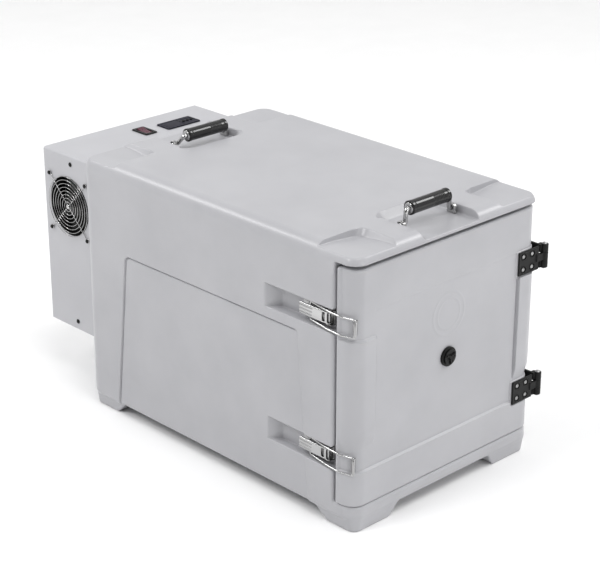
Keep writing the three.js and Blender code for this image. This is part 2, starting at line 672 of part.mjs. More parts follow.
const PLUG = { halfWidth: 158, bottom: 78, top: 420, depth: 19, skin: 5 };
const LINER_FRONT = DOOR_THICKNESS - 4.5;
const LINER_EDGE = { halfWidth: half - 12, bottom: DOOR_BOTTOM + 10, top: DOOR_TOP - 10 };
function plug(inset, start, end) {
  const { halfWidth: w, bottom, top } = PLUG;
  const ring = (y, extra) => ({
    z: y,
    points: roundedOutline(
      -w + inset + extra, w - inset - extra, bottom + inset + extra, top - inset - extra, [12, 12, 12, 12],
    ),
  });
  return stand(loft([ring(start, 0), ring(end - 4, 0), ring(end, 3)]));
}

function doorLiner() {
  const plate = box(
    -LINER_EDGE.halfWidth, LINER_EDGE.halfWidth, LINER_FRONT, DOOR_THICKNESS, LINER_EDGE.bottom, LINER_EDGE.top,
  );
  const plugEnd = DOOR_THICKNESS + PLUG.depth;
  const pan = plug(PLUG.skin, LINER_FRONT - 1, plugEnd - PLUG.skin);
  return cut(join(plate, plug(0, LINER_FRONT + 1, plugEnd)), pan, ventBore(0, plugEnd + 1));
}
piece("door_liner", doorLiner(), linerGrey);

function doorFoam() {
  const behind = box(-half, half, LINER_FRONT - GAP, DOOR_THICKNESS + 40, 0, HEIGHT);
  const slab = cut(doorHollow(GAP), behind);
  const core = plug(PLUG.skin + GAP, LINER_FRONT - 2, DOOR_THICKNESS + PLUG.depth - PLUG.skin - GAP);
  return cut(join(slab, core), rod("y", [0, VENT_HEIGHT], 0, 99, VENT_RADIUS + GAP, 24));
}
piece("door_foam", doorFoam(), foamCream);

function gasket() {
  const y0 = DOOR_THICKNESS + GAP;
  const y1 = CARCASS_FRONT - GAP;
  const frame = (grow) => stand(loft([y0, y1].map((y) => ({
    z: y,
    points: roundedOutline(
      -ROOM_HALF_WIDTH - grow, ROOM_HALF_WIDTH + grow, ROOM_FLOOR - grow + 4, ROOM_CEILING + grow - 4,
      [16, 16, 16, 16],
    ),
  }))));
  const opening = frame(4).scale([1, 3, 1]).translate([0, -(y0 + y1), 0]);
  return cut(frame(13), opening);
}
piece("door_gasket", gasket(), rubberBlack);

// ---- vent in the door ---------------------------------------------------
function ventHousing() {
  const face = DOOR_PANEL_RECESS - GAP;
  const flange = rod("y", [0, VENT_HEIGHT], face - 2.6, face, 17, 36);
  const tube = rod("y", [0, VENT_HEIGHT], face - 0.5, DOOR_THICKNESS + PLUG.depth + 1, VENT_RADIUS - GAP, 24);
  return cut(join(flange, tube), rod("y", [0, VENT_HEIGHT], -9, 99, 7, 24));
}
piece("vent_housing", ventHousing(), blackPlastic);

// A round cap with a raised cross grip and a stub that turns in the housing.
function ventCap() {
  const back = DOOR_PANEL_RECESS - GAP - 2.6 - GAP;
  const disc = rod("y", [0, VENT_HEIGHT], back - 2.6, back, 13.5, 32, 12.6);
  const stub = rod("y", [0, VENT_HEIGHT], back - 1, back + 12, 6.5, 20);
  const bars = [0, 60, 120].map((turn) => box(-11, 11, back - 5, back - 2, -2, 2).rotate([0, turn, 0]));
  return join(disc, stub, ...bars.map((bar) => bar.translate([0, 0, VENT_HEIGHT])));
}
piece("vent_cap", ventCap(), blackPlastic);

// ---- hinges -------------------------------------------------------------
const PIN_RADIUS = 3;
const KNUCKLE_HALF = 7;
function hinge(name, level) {
  const centre = [HINGE.x, HINGE.y];
  const bore = rod("z", centre, level - 40, level + 40, PIN_RADIUS + 0.4, 16);
  const z0 = level - HINGE.halfHeight;
  const z1 = level + HINGE.halfHeight;
  const low = level - KNUCKLE_HALF - 0.3;
  const high = level + KNUCKLE_HALF + 0.3;
  const side = half + GAP;

  const sideLeaf = box(side, side + 3, 50, 104, z0, z1);
  const strap = box(side + 0.5, side + 5.6, HINGE.radius + HINGE.y + 0.6, 52, z0, z1);
  const knuckles = [[z0, low], [high, z1]].map(([a, b]) => join(
    rod("z", centre, a, b, HINGE.radius, 24),
    box(side + 0.5, HINGE.x, HINGE.y, HINGE.y + HINGE.radius + 2, a, b),
  ));
  piece(`hinge_body_leaf_${name}`, cut(join(sideLeaf, strap, ...knuckles), bore), blackPlastic);

  const leaf = box(HINGE.leafInner, half - 3, 0, 2.6, z0, z1);
  const arm = box(half - 5, HINGE.x, 0, 2.6, level - KNUCKLE_HALF, level + KNUCKLE_HALF);
  const knuckle = rod("z", centre, level - KNUCKLE_HALF, level + KNUCKLE_HALF, HINGE.radius, 24);
  piece(`hinge_door_leaf_${name}`, cut(join(leaf, arm, knuckle), bore), blackPlastic);

  const pin = rod("z", centre, z0 - 1, z1 + 1, PIN_RADIUS, 16);
  const heads = [z0 - 2.6, z1 + 0.6].map((z) => rod("z", centre, z, z + 2, PIN_RADIUS + 1.5, 16));
  piece(`hinge_pin_${name}`, join(pin, ...heads), brushedSteel);
}
Object.entries(HARDWARE_LEVELS).forEach(([name, level]) => hinge(name, level));

// ---- toggle latches -----------------------------------------------------
function latch(name, level) {
  const [px, py] = LATCH.pivot;
  const [ax, ay] = LATCH.pin;
  const [bx, by] = LATCH.bar;
  const pocketFloor = 20 - half;

  const plate = box(pocketFloor - GAP - 2, pocketFloor - GAP, 58, 130, level - 14, level + 14);
  const ear = (z) => box(px - 4.5, pocketFloor - 2, py - 6, py + 6, level + z, level + z + 2.2);
  const ears = [-12.8, 10.6].map(ear);
  const pin = rod("z", [px, py], level - 12, level + 12, 2.5, 16);
  piece(`latch_base_${name}`, join(plate, ...ears, pin), brushedSteel);

  const heel = rod("z", [px, py], level - 9.9, level + 9.9, 5.4, 24);
  const blade = box(-215.5, -204.2, py, 128, level - 9.9, level + 9.9);
  const noseCut = box(-220, -200, py - 9, py + 3, level - 12, level + 12);
  const ribs = [-6, 0, 6].map((dz) => box(-217, -214.4, 96, 126, level + dz - 1.2, level + dz + 1.2));
  const lever = join(cut(blade, noseCut), heel);
  const bore = rod("z", [px, py], level - 20, level + 20, 2.9, 16);
  const finger = box(-207.4, -203, 112, 130, level - 8, level + 8);
  piece(`latch_lever_${name}`, cut(lever, bore, finger, ...ribs), chromeSteel);

  const w = LATCH.halfBail;
  const side = (sign) => [
    [ax, ay, level + sign * 10.6], [ax, ay, level + sign * w],
    [-221, 30, level + sign * w], [bx, by, level + sign * w],
  ];
  piece(`latch_bail_${name}`, wire([...side(-1), ...side(1).reverse()], LATCH.wire, 6, 4), chromeSteel);

  const strip = [[-196, 2.8], [-202, 2.8], [-215, 8.8], [-219, 1.5]];
  const thickness = 0.8;
  const halfKeeper = 12.4;
  const outline = new THREE.Shape([
    ...strip.map(([x, y], i) => new THREE.Vector2(x, y - thickness * (i < 3 ? 1 : 0))),
    new THREE.Vector2(-220, 2), new THREE.Vector2(-215.6, 10),
    new THREE.Vector2(-202, 3.6), new THREE.Vector2(-196, 3.6),
  ]);
  const keeper = new THREE.ExtrudeGeometry(outline, { depth: 2 * halfKeeper, bevelEnabled: false });
  keeper.translate(0, 0, level - halfKeeper);
  piece(`keeper_${name}`, toSolid(keeper), brushedSteel);
}
Object.entries(HARDWARE_LEVELS).forEach(([name, level]) => latch(name, level));

// ---- carry handles ------------------------------------------------------
const HANDLE_LEAN = { front: 3, rear: 45 };
const BRACKET = { inner: 56, outer: 63, halfDepth: 9, rise: 8 };

function handle(name, pivotY) {
  const lean = HANDLE_LEAN[name];
  const { pivotZ, halfSpan, reach, wire: wireRadius, grip } = HANDLE;
  const tip = BRACKET.outer - 0.6;
  const place = (solid) => solid.rotate([lean, 0, 0]).translate([0, pivotY, pivotZ]);
  const path = [
    [-tip, 0, 0], [-halfSpan, 0, 0], [-halfSpan, 0, reach],
    [halfSpan, 0, reach], [halfSpan, 0, 0], [tip, 0, 0],
  ];
  piece(`handle_wire_${name}`, place(wire(path, wireRadius, 8, 6)), chromeSteel);

  const length = halfSpan - 6.5;
  const bore = wireRadius + 0.6;
  const profile = [
    [bore, -length], [grip - 1, -length], [grip, 1 - length], [grip, 5 - length], [grip - 1, 6 - length],
    [grip - 1, length - 6], [grip, length - 5], [grip, length - 1], [grip - 1, length], [bore, length],
    [bore, -length],
  ];
  const geometry = new THREE.LatheGeometry(profile.map(([x, y]) => new THREE.Vector2(x, y)), 28);
  geometry.rotateZ(-Math.PI / 2);
  geometry.translate(0, 0, reach);
  piece(`handle_grip_${name}`, place(toSolid(geometry)), blackGloss);

  for (const [label, side] of [["left", -1], ["right", 1]]) {
    const xs = [side * BRACKET.inner, side * BRACKET.outer].sort((a, b) => a - b);
    const floor = HEIGHT - SCOOP.depth + GAP;
    const { halfDepth, rise } = BRACKET;
    const block = box(xs[0], xs[1], pivotY - halfDepth, pivotY + halfDepth, floor, pivotZ + rise);
    const bracket = cut(block, rod("x", [pivotY, pivotZ], -99, 99, wireRadius + 0.4, 16));
    piece(`handle_bracket_${name}_${label}`, bracket, chromeSteel);
  }
}
handle("front", HANDLE.frontPivot);
handle("rear", HANDLE.rearPivot);

// ---- origin at the middle of the footprint, on the floor ----------------
const bounds = new THREE.Box3().setFromObject(model);
model.position.set(-(bounds.min.x + bounds.max.x) / 2, -(bounds.min.y + bounds.max.y) / 2, -bounds.min.z);

export default group;
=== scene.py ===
"""Looks for a front-loading refrigerated food carrier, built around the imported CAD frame."""

import math

import bmesh
import bpy
import numpy as np
from mathutils import Matrix, Vector


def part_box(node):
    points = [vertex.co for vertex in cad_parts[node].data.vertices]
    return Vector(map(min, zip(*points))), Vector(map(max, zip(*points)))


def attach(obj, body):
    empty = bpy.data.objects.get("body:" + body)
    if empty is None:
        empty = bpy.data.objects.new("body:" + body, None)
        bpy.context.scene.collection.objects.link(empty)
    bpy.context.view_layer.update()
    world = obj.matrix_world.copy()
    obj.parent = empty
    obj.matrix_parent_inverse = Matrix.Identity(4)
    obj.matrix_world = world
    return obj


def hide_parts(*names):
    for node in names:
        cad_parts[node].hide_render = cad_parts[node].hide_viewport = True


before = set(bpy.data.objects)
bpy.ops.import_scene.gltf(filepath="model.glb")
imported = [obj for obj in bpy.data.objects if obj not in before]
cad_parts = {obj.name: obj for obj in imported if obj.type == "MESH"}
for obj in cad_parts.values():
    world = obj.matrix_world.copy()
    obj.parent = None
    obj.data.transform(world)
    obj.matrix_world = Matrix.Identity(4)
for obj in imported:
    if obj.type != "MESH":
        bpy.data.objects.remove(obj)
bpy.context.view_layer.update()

MM = 0.001

# ---- sizes read from the frame ------------------------------------------
shell_low, shell_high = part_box("outer_shell")
HALF = (shell_high.x - shell_low.x) / 2 / MM
DEPTH = (shell_high.y - shell_low.y) / MM
HEIGHT = shell_high.z / MM
# Everything below is in millimetres from the middle of the carcass's front, on the floor.
ORIGIN = Vector(((shell_low.x + shell_high.x) / 2, shell_low.y, 0))


def local(node):
    """The lowest and highest corners of a CAD node in this script's millimetres, to a micrometre."""
    low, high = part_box(node)
    return [Vector([round(v, 3) for v in (corner - ORIGIN) / MM]) for corner in (low, high)]


def middle(node):
    """The centre of a CAD node's box in this script's millimetres."""
    low, high = local(node)
    return (low + high) / 2


DOOR, LINER, PLUG = local("door_shell"), local("inner_liner"), local("door_liner")
LEVELS = {name: middle(f"latch_base_{name}").z for name in ("top", "bottom")}
VENT_Z = middle("vent_cap").z
VENT_BORE = 10.2
DOOR_THICKNESS = DOOR[1].y
CARCASS_FRONT = LINER[0].y
FOOT_HEIGHT = 22
CORNER = 28
TOP_ROLL = 24


# ---- smooth solids as distance fields -----------------------------------
def rmax(a, b, r):
    """Both solids at once, with their shared edge rounded to radius r."""
    u = np.maximum(a + r, 0)
    v = np.maximum(b + r, 0)
    return np.minimum(np.maximum(a, b), -r) + np.sqrt(u * u + v * v)


def rmin(a, b, r):
    return -rmax(-a, -b, r)


def slab(c, low, high):
    return np.maximum(low - c, c - high)


def rounded_rect(a, b, a0, a1, b0, b1, r):
    qa = np.abs(a - (a0 + a1) / 2) - (a1 - a0) / 2 + r
    qb = np.abs(b - (b0 + b1) / 2) - (b1 - b0) / 2 + r
    outside = np.hypot(np.maximum(qa, 0), np.maximum(qb, 0))
    return outside + np.minimum(np.maximum(qa, qb), 0) - r


def step(c, edge, width):
    """Rises smoothly from 0 to 1 around an edge."""
    t = np.clip((c - edge) / width + 0.5, 0, 1)
    return t * t * (3 - 2 * t)


def turned(a, b, degrees):
    """Distances along and across a line at an angle through a plane's origin."""
    c, s = math.cos(math.radians(degrees)), math.sin(math.radians(degrees))
    return a * c + b * s, b * c - a * s


# How much the lattice spacing grows for each millimetre away from a zone.
GRADING = 0.25


def near(edges, reach, *pitch):
    """Zones that reach a little to both sides of each edge."""
    return [(edge - reach, edge + reach, *pitch) for edge in edges]


def lattice(start, end, zones, fine, coarse):
    """Lattice lines that crowd together in and near the given zones; a zone may state its own spacing."""
    lines = [start]
    while lines[-1] < end:
        at = lines[-1]
        gaps = [(own[0] if own else fine) + GRADING * max(low - at, at - high, 0) for low, high, *own in zones]
        lines.append(at + min([coarse] + gaps))
    return np.array(lines, np.float32)


def surface_net(field, xs, ys, zs):
    """Vertices and quads of a field's zero surface, one vertex in each lattice cell that it crosses."""
    grid = np.meshgrid(xs, ys, zs, indexing="ij", sparse=True)
    values = np.broadcast_to(field(*grid), (len(xs), len(ys), len(zs))).astype(np.float32)
    inside = values < 0
    count = np.zeros([n - 1 for n in values.shape], np.int8)
    corners = [(i, j, k) for i in (0, 1) for j in (0, 1) for k in (0, 1)]
    for i, j, k in corners:
        count += inside[i:i + count.shape[0], j:j + count.shape[1], k:k + count.shape[2]]
    active = np.argwhere((count > 0) & (count < 8))
    index = np.full(count.shape, -1, np.int32)
    index[tuple(active.T)] = np.arange(len(active))

    axes = (xs, ys, zs)
    total = np.zeros((len(active), 3))
    hits = np.zeros(len(active))
    for a in corners:
        for axis in range(3):
            if a[axis]:
                continue
            b = tuple(v + (n == axis) for n, v in enumerate(a))
            ia = tuple((active + a).T)
            ib = tuple((active + b).T)
            crossing = inside[ia] != inside[ib]
            va, vb = values[ia][crossing], values[ib][crossing]
            t = va / (va - vb)
            for n in range(3):
                pa = axes[n][ia[n][crossing]]
                pb = axes[n][ib[n][crossing]]
                total[crossing, n] += pa + (pb - pa) * t
            hits[crossing] += 1
    points = total / hits[:, None]

    quads = []
    for axis in range(3):
        low = [slice(None)] * 3
        high = [slice(None)] * 3
        low[axis], high[axis] = slice(None, -1), slice(1, None)
        change = np.argwhere(inside[tuple(low)] != inside[tuple(high)])
        one, two = [n for n in range(3) if n != axis]
        edge = (change[:, one] > 0) & (change[:, two] > 0)
        edge &= (change[:, one] < count.shape[one]) & (change[:, two] < count.shape[two])
        change = change[edge]
        ring = []
        for d1, d2 in ((-1, -1), (0, -1), (0, 0), (-1, 0)):
            cell = change.copy()
            cell[:, one] += d1
            cell[:, two] += d2
            ring.append(index[tuple(cell.T)])
        ring = np.stack(ring, 1)
        outward = inside[tuple(change.T)]
        if axis == 1:
            outward = ~outward
        ring[~outward] = ring[~outward][:, ::-1]
        quads.append(ring)
    return points, np.concatenate(quads)


def gradient(field, points, reach=0.4):
    slopes = []
    for axis in range(3):
        shift = np.zeros(3)
        shift[axis] = reach
        ahead = field(*(points + shift).T)
        behind = field(*(points - shift).T)
        slopes.append((ahead - behind) / (2 * reach))
    return np.stack(slopes, 1)


def linked(data):
    """An object made of some data, named like it and put in the scene."""
    obj = bpy.data.objects.new(data.name, data)
    bpy.context.scene.collection.objects.link(obj)
    return obj


def field_mesh(field, xs, ys, zs):
    """A mesh of a field's surface, pulled onto the exact surface and shaded by its true normals."""
    points, quads = surface_net(field, xs, ys, zs)
    for _ in range(3):
        slope = gradient(field, points)
        size = np.maximum((slope ** 2).sum(1, keepdims=True), 0.2)
        move = slope * (field(*points.T)[:, None] / size)
        points = points - np.clip(move, -1.5, 1.5)
    normals = gradient(field, points)
    normals /= np.maximum(np.linalg.norm(normals, axis=1, keepdims=True), 1e-6)
    mesh = bpy.data.meshes.new("piece")
    mesh.from_pydata((points * MM + np.array(ORIGIN)).tolist(), [], quads.tolist())
    mesh.validate()
    mesh.shade_smooth()
    mesh.normals_split_custom_set_from_vertices(normals.tolist())
    return linked(mesh)


def waviness(a, b, amount, length=110.0):
    """The faint unevenness of a rotomoulded wall."""
    return amount * (0.5 + 0.5 * np.sin(a / length * 2.1 + 0.7) * np.sin(b / length * 1.7 + 1.9))


# ---- carcass ------------------------------------------------------------
SCOOP = dict(half=64.2, length=102, floor=HEIGHT - 14, corner=18)
POCKET = dict(inner=126, length=88, depth=7.5, dip=5.0, corner=17)
PRESSING = dict(top=320, rear=558, rear_lean=0.114, front=127.249, front_lean=0.083, depth=2.0, seam=2.6)
FOOT = dict(inset=5.5, set_back=1.5, draft=0.14, inner=128, length=69, corner=18)
RECESS = dict(half=20, depth=20, length=180, slope=1.1)
WELL = dict(half=17, depth=27, front=CARCASS_FRONT + 3, back=60)
DOOR_GAP = 0.5
LIP_GAP = 5.6
RIM = [LINER[0].x, LINER[1].x, LINER[0].z, LINER[1].z]
# Any length that takes a hollow or a foot well past the walls it opens through.
BEYOND = 60


def side_panel(y, z):
    """Signed distances, in the side's plane, to the edge of the panel pressed into it and to its front edge."""
    below = PRESSING["top"] - z
    leans_back = (y - PRESSING["rear"]) - below * PRESSING["rear_lean"]
    leans_front = (PRESSING["front"] - y) - below * PRESSING["front_lean"]
    return rmax(rmax(-below, leans_back, 9), leans_front, 2), leans_front


def foot(across, run, z):
    """A corner foot, with across measured outwards and run inwards from the nearer end."""
    spread = FOOT["draft"] * np.clip(FOOT_HEIGHT + 4 - z, 0, 40)
    outward = rounded_rect(across, run, BEYOND, HALF - FOOT["inset"], FOOT["set_back"], 180, FOOT["corner"]) + spread
    inward = rmax((FOOT["inner"] - 0.73 * z - across) * 0.81, (run - FOOT["length"] - 1.05 * z) * 0.69, 12)
    return rmax(rmax(rmax(outward, inward, 3), -z, 2.2), z - 34, 2)


def pocket(across, run, z):
    """The hollow in a top corner, deepest where its two walls meet."""
    hollow = rounded_rect(across, run, POCKET["inner"], HALF + BEYOND, -BEYOND, POCKET["length"], POCKET["corner"])
    away = (across - POCKET["inner"] - 12) ** 2 + (POCKET["length"] - 10 - run) ** 2
    floor = HEIGHT - POCKET["depth"] - POCKET["dip"] * np.exp(-away / 1100)
    inner_side = step(POCKET["length"] - run - across + POCKET["inner"], 0, 14)
    hollow = hollow - np.clip(z - floor, 0, 14) * (0.15 + 0.65 * inner_side)
    return rmax(hollow, floor - z, 1.5)


def scoop(x, run, z):
    """The hollow under a handle, open through the end wall."""
    hollow = rounded_rect(x, run, -SCOOP["half"], SCOOP["half"], -BEYOND, SCOOP["length"], SCOOP["corner"])
    hollow = hollow - np.clip(z - SCOOP["floor"], 0, 16) * (0.18 + 0.72 * step(run, SCOOP["length"] - 8, 12))
    return rmax(hollow, SCOOP["floor"] - z, 2.2)


def carcass(x, y, z):
    f = rounded_rect(x, y, -HALF, HALF, 0, DEPTH, CORNER)
    side = step(np.abs(x), HALF - 14, 10)
    panel, front_edge = side_panel(y, z)
    f = f + PRESSING["depth"] * (1 - step(panel, 0.6, 2.4)) * side
    seam = np.exp(-((panel + 0.2) / 1.25) ** 2) * (1 - step(front_edge, -6, 8))
    f = f + PRESSING["seam"] * seam * side
    f = f + waviness(y, z, 0.45) * side
    f = rmax(f, z - HEIGHT + waviness(x, y, 0.35, 130.0), TOP_ROLL)
    f = rmax(f, FOOT_HEIGHT - z, 9)
    for run in (y, DEPTH - y):
        for across in (-x, x):
            f = rmin(f, foot(across, run, z), 3)
            f = rmax(f, -pocket(across, run, z), 1.1)
        f = rmax(f, -scoop(x, run, z), 1.2)
    for level in LEVELS.values():
        inward = x + HALF
        recess = rmax(np.abs(z - level) - RECESS["half"], inward - RECESS["depth"], 1.6)
        ramp = y - RECESS["length"] + (inward - RECESS["depth"]) * RECESS["slope"]
        f = rmax(f, -rmax(recess, ramp / math.hypot(1, RECESS["slope"]), 1.2), 1.3)
        well = rmax(np.abs(z - level) - WELL["half"], slab(y, WELL["front"], WELL["back"]), 2)
        f = rmax(f, -rmax(well, inward - WELL["depth"], 2), 1.0)
    door_space = rmax(y - CARCASS_FRONT, slab(z, DOOR[0].z - DOOR_GAP, DOOR[1].z + LIP_GAP), 3)
    f = rmax(f, -door_space, 6 - 4 * step(z, 440, 10))
    opening = rounded_rect(x, z, RIM[0] - 0.4, RIM[1] + 0.4, RIM[2] - 0.4, RIM[3] + 0.4, 1)
    return rmax(f, -np.maximum(opening, y - DEPTH + 40), 0.8)


def carcass_mesh():
    ys = [(0, 30), (44, 52), (59, 62), (78, 92, 1.6), (98, 118, 1.5), (176, 206, 1.5)]
    ys += [(DEPTH - b, DEPTH - a) for a, b in ((0, 30), (78, 92), (98, 118))]
    ys += [(100, 129, 1.6), (553, 594, 1.15)]
    xs = [(-HALF - 2, -HALF + 32), (HALF - 32, HALF + 2), (-202, -198, 1.4)]
    xs += near((-122, -66, 66, 122), 5, 1.5) + near((-190, 190), 3)
    zs = [(0, 34), (44, 56), (309, 323, 1.0), (446, 463, 1.6), (463, HEIGHT + 1, 1.5)]
    zs += near([level + a for level in LEVELS.values() for a in (-RECESS["half"], RECESS["half"])], 3, 1.3)
    return field_mesh(
        carcass,
        lattice(-HALF - 3, HALF + 3, xs, 2.2, 11),
        lattice(-3, DEPTH + 3, ys, 2.2, 11),
        lattice(-3, HEIGHT + 3, zs, 2.0, 11),
    )


# ---- door ---------------------------------------------------------------
# Half the height of the flat seat round each hinge leaf.
SEAT_HALF = 22
RING = dict(z=322, radii=(37, 27), lift=0.5)
FACE = dict(set_back=4.4, band_top=109, pad_edge=170, pad_foot=160, pad_top=336, crease_z=380, groove_x=168.5)


def door(x, y, z):
    low, high = DOOR
    f = rounded_rect(x, y, -HALF, HALF, 0, 120, CORNER)
    # The main face lies behind the lower band and the corner pads.
    above_band = step(z, FACE["band_top"], 3.6)
    edge = step(np.abs(x), FACE["pad_edge"], 2.2)
    pad = edge * step(z, FACE["pad_foot"], 26) * (1 - step(z, FACE["pad_top"], 3.4))
    face = FACE["set_back"] * above_band * (1 - pad)
    crease = np.exp(-((z - FACE["crease_z"]) / 2.2) ** 2)
    face = face + 0.4 * crease * (1 - edge)
    groove = np.exp(-((np.abs(x) - FACE["groove_x"]) / 1.2) ** 2) * (1 - step(z, FACE["pad_top"] - 2, 4))
    face = face + groove * np.where(x > 0, 2.6 * step(z, 150, 8), 2.4 * step(z, 190, 30))
    for level in LEVELS.values():
        seat = (1 - step(np.abs(z - level), SEAT_HALF, 1.6)) * step(x, 163, 1.4)
        face = face * (1 - seat) + 2.7 * seat
    radius = np.hypot(x, z - RING["z"])
    for r in RING["radii"]:
        face = face - RING["lift"] * np.exp(-((radius - r) / 1.8) ** 2)
    face = face + waviness(x, z, 0.45, 90.0)
    f = f + face * (1 - step(y, DOOR_THICKNESS - 8, 8))
    f = rmax(f, y - DOOR_THICKNESS, 8)
    f = rmax(f, z - high.z + 1.2, 4)
    f = rmax(f, low.z - z, 3)
    seat = rounded_rect(x, z, PLUG[0].x - 0.4, PLUG[1].x + 0.4, PLUG[0].z - 0.4, PLUG[1].z + 0.4, 2)
    f = rmax(f, -np.maximum(seat, PLUG[0].y + 19 - y), 0.8)
    return rmax(f, VENT_BORE - np.hypot(x, z - VENT_Z), 0.5)


def door_mesh():
    low, high = DOOR
    zs = [(low.z - 2, low.z + 13), (high.z - 13, high.z + 2), (376, 386, 1.2), (VENT_Z - 11, VENT_Z + 11, 1.2)]
    zs += near((FACE["band_top"], FACE["pad_top"]), 4, 0.9) + near([RING["z"]], 40)
    zs += near([level + a for level in LEVELS.values() for a in (-SEAT_HALF, SEAT_HALF)], 3, 1.1)
    xs = near((-FACE["pad_edge"], FACE["pad_edge"]), 4, 0.8) + [(161, 165, 1.0), (-40, 40), (-11, 11, 1.2)]
    xs += [(-HALF - 2, -HALF + 32), (HALF - 32, HALF + 2)]
    return field_mesh(
        door,
        lattice(-HALF - 3, HALF + 3, xs, 1.8, 8),
        lattice(-3, DOOR_THICKNESS + 3, [(0, 30), (36, 44)], 2.0, 5),
        lattice(low.z - 4, high.z + 4, zs, 1.8, 8),
    )


# ---- compartment liner --------------------------------------------------
ROOM = dict(half=168, floor=66, ceiling=430, back=LINER[1].y - 5, wall=5)
RUNNER = dict(tiers=6, first=40, pitch=52, width=12, height=9, front=72, back=590)


def liner(x, y, z):
    half, wall = ROOM["half"], ROOM["wall"]
    tub = rounded_rect(x, z, -half - wall, half + wall, ROOM["floor"] - wall, ROOM["ceiling"] + wall, 20)
    tub = rmax(tub, y - ROOM["back"] - wall, 8)
    rim = np.maximum(rounded_rect(x, z, *RIM, 2), y - CARCASS_FRONT - wall)
    f = np.maximum(np.minimum(tub, rim), CARCASS_FRONT + 0.3 - y)
    room = rmax(rounded_rect(x, z, -half, half, ROOM["floor"], ROOM["ceiling"], 15), y - ROOM["back"], 12)
    f = rmax(f, -room, 3)
    lowest = ROOM["floor"] + RUNNER["first"] + RUNNER["height"] / 2
    tier = np.clip(np.round((z - lowest) / RUNNER["pitch"]), 0, RUNNER["tiers"] - 1)
    above = np.abs(z - lowest - tier * RUNNER["pitch"])
    ledge = rmax(above - RUNNER["height"] / 2, slab(y, RUNNER["front"], RUNNER["back"]), 3)
    ledge = rmax(ledge, half - RUNNER["width"] - np.abs(x), 3)
    return rmin(f, np.maximum(ledge, np.abs(x) - half - 3), 3)


def liner_mesh():
    tiers = [ROOM["floor"] + RUNNER["first"] + n * RUNNER["pitch"] for n in range(RUNNER["tiers"])]
    zs = [(t - 3, t + RUNNER["height"] + 3) for t in tiers] + [(ROOM["floor"] - 6, ROOM["floor"] + 14)]
    zs += [(ROOM["ceiling"] - 14, ROOM["ceiling"] + 6), (RIM[2] - 2, RIM[2] + 3), (RIM[3] - 3, RIM[3] + 2)]
    xs = near((-177, -165, 165, 177), 12) + near((-190, 190), 3)
    ys = [(CARCASS_FRONT - 1, CARCASS_FRONT + 7), (68, 78), (584, 594), (612, 632)]
    return field_mesh(
        liner,
        lattice(RIM[0] - 3, RIM[1] + 3, xs, 2.5, 16),
        lattice(CARCASS_FRONT - 2, ROOM["back"] + 8, ys, 2.2, 22),
        lattice(RIM[2] - 3, RIM[3] + 3, zs, 2.2, 12),
    )


PANE = dict(half=158, low=78, high=420, border=30)


def plug_field(x, y, z):
    plate = rounded_rect(x, z, PLUG[0].x, PLUG[1].x, PLUG[0].z, PLUG[1].z, 4)
    plate = rmax(plate, slab(y, DOOR_THICKNESS - 4.5, DOOR_THICKNESS), 1)
    half, low, high, border = PANE.values()
    body = rounded_rect(x, z, -half, half, low, high, 16) + np.clip(y - DOOR_THICKNESS, 0, 30) * 0.12
    body = rmax(body, slab(y, DOOR_THICKNESS - 4, PLUG[1].y), 6)
    inner = rounded_rect(x, z, border - half, half - border, low + border, high - border, 20)
    body = body + 2.0 * (1 - step(inner, 0, 8)) * step(y, PLUG[1].y - 8, 6)
    return rmax(rmin(plate, body, 4), VENT_BORE - np.hypot(x, z - VENT_Z), 0.5)


def plug_mesh():
    half, low, high, border = PANE.values()
    xs = near([hand * a for hand in (-1, 1) for a in (half, half - border, PLUG[1].x)], 6) + [(-11, 11, 1.4)]
    zs = near((low, low + border, high - border, high, PLUG[0].z, PLUG[1].z), 6) + [(VENT_Z - 11, VENT_Z + 11, 1.4)]
    return field_mesh(
        plug_field,
        lattice(PLUG[0].x - 3, PLUG[1].x + 3, xs, 2.2, 14),
        lattice(DOOR_THICKNESS - 7, PLUG[1].y + 3, [(36, 66)], 1.6, 4),
        lattice(PLUG[0].z - 3, PLUG[1].z + 3, zs, 2.2, 14),
    )


# ---- small solids -------------------------------------------------------
def block(x, y, z, xs, ys, zs, r):
    """A box with every edge rounded."""
    terms = [np.abs(c - (low + high) / 2) - (high - low) / 2 + r for c, (low, high) in zip((x, y, z), (xs, ys, zs))]
    outside = np.sqrt(sum(np.maximum(t, 0) ** 2 for t in terms))
    return outside + np.minimum(np.maximum(np.maximum(terms[0], terms[1]), terms[2]), 0) - r


def drum(away, h, radius, low, high, r):
    """A cylinder along h with rounded rims; away is the distance from its axis."""
    return rmax(away - radius, slab(h, low, high), r)


def small(field, low, high, pitch):
    """A field's mesh on an even lattice that spans two corners."""
    pitches = pitch if isinstance(pitch, tuple) else (pitch, pitch, pitch)
    return field_mesh(field, *(
        np.linspace(a - 1.5 * p, b + 1.5 * p, max(int((b - a) / p) + 4, 6), dtype=np.float32)
        for a, b, p in zip(low, high, pitches)
    ))


def mesh_object(verts, faces):
    """A smooth mesh from points in this script's millimetres, its faces turned outwards."""
    data = bpy.data.meshes.new("piece")
    data.from_pydata([tuple(ORIGIN + Vector(v) * MM) for v in verts], [], faces)
    data.validate()
    data.shade_smooth()
    mesh = bmesh.new()
    mesh.from_mesh(data)
    bmesh.ops.recalc_face_normals(mesh, faces=mesh.faces)
    mesh.to_mesh(data)
    mesh.free()
    return linked(data)


def ring_faces(rings, size, closed):
    """Quads between neighbouring rings of points; closed joins the last ring to the first."""
    faces = []
    for n in range(rings if closed else rings - 1):
        here, after = n * size, (n + 1) % rings * size
        for k in range(size):
            beside = (k + 1) % size
            faces.append((here + k, here + beside, after + beside, after + k))
    return faces


def end_caps(rings, size):
    return [tuple(range(size)), tuple(range((rings - 1) * size, rings * size))]


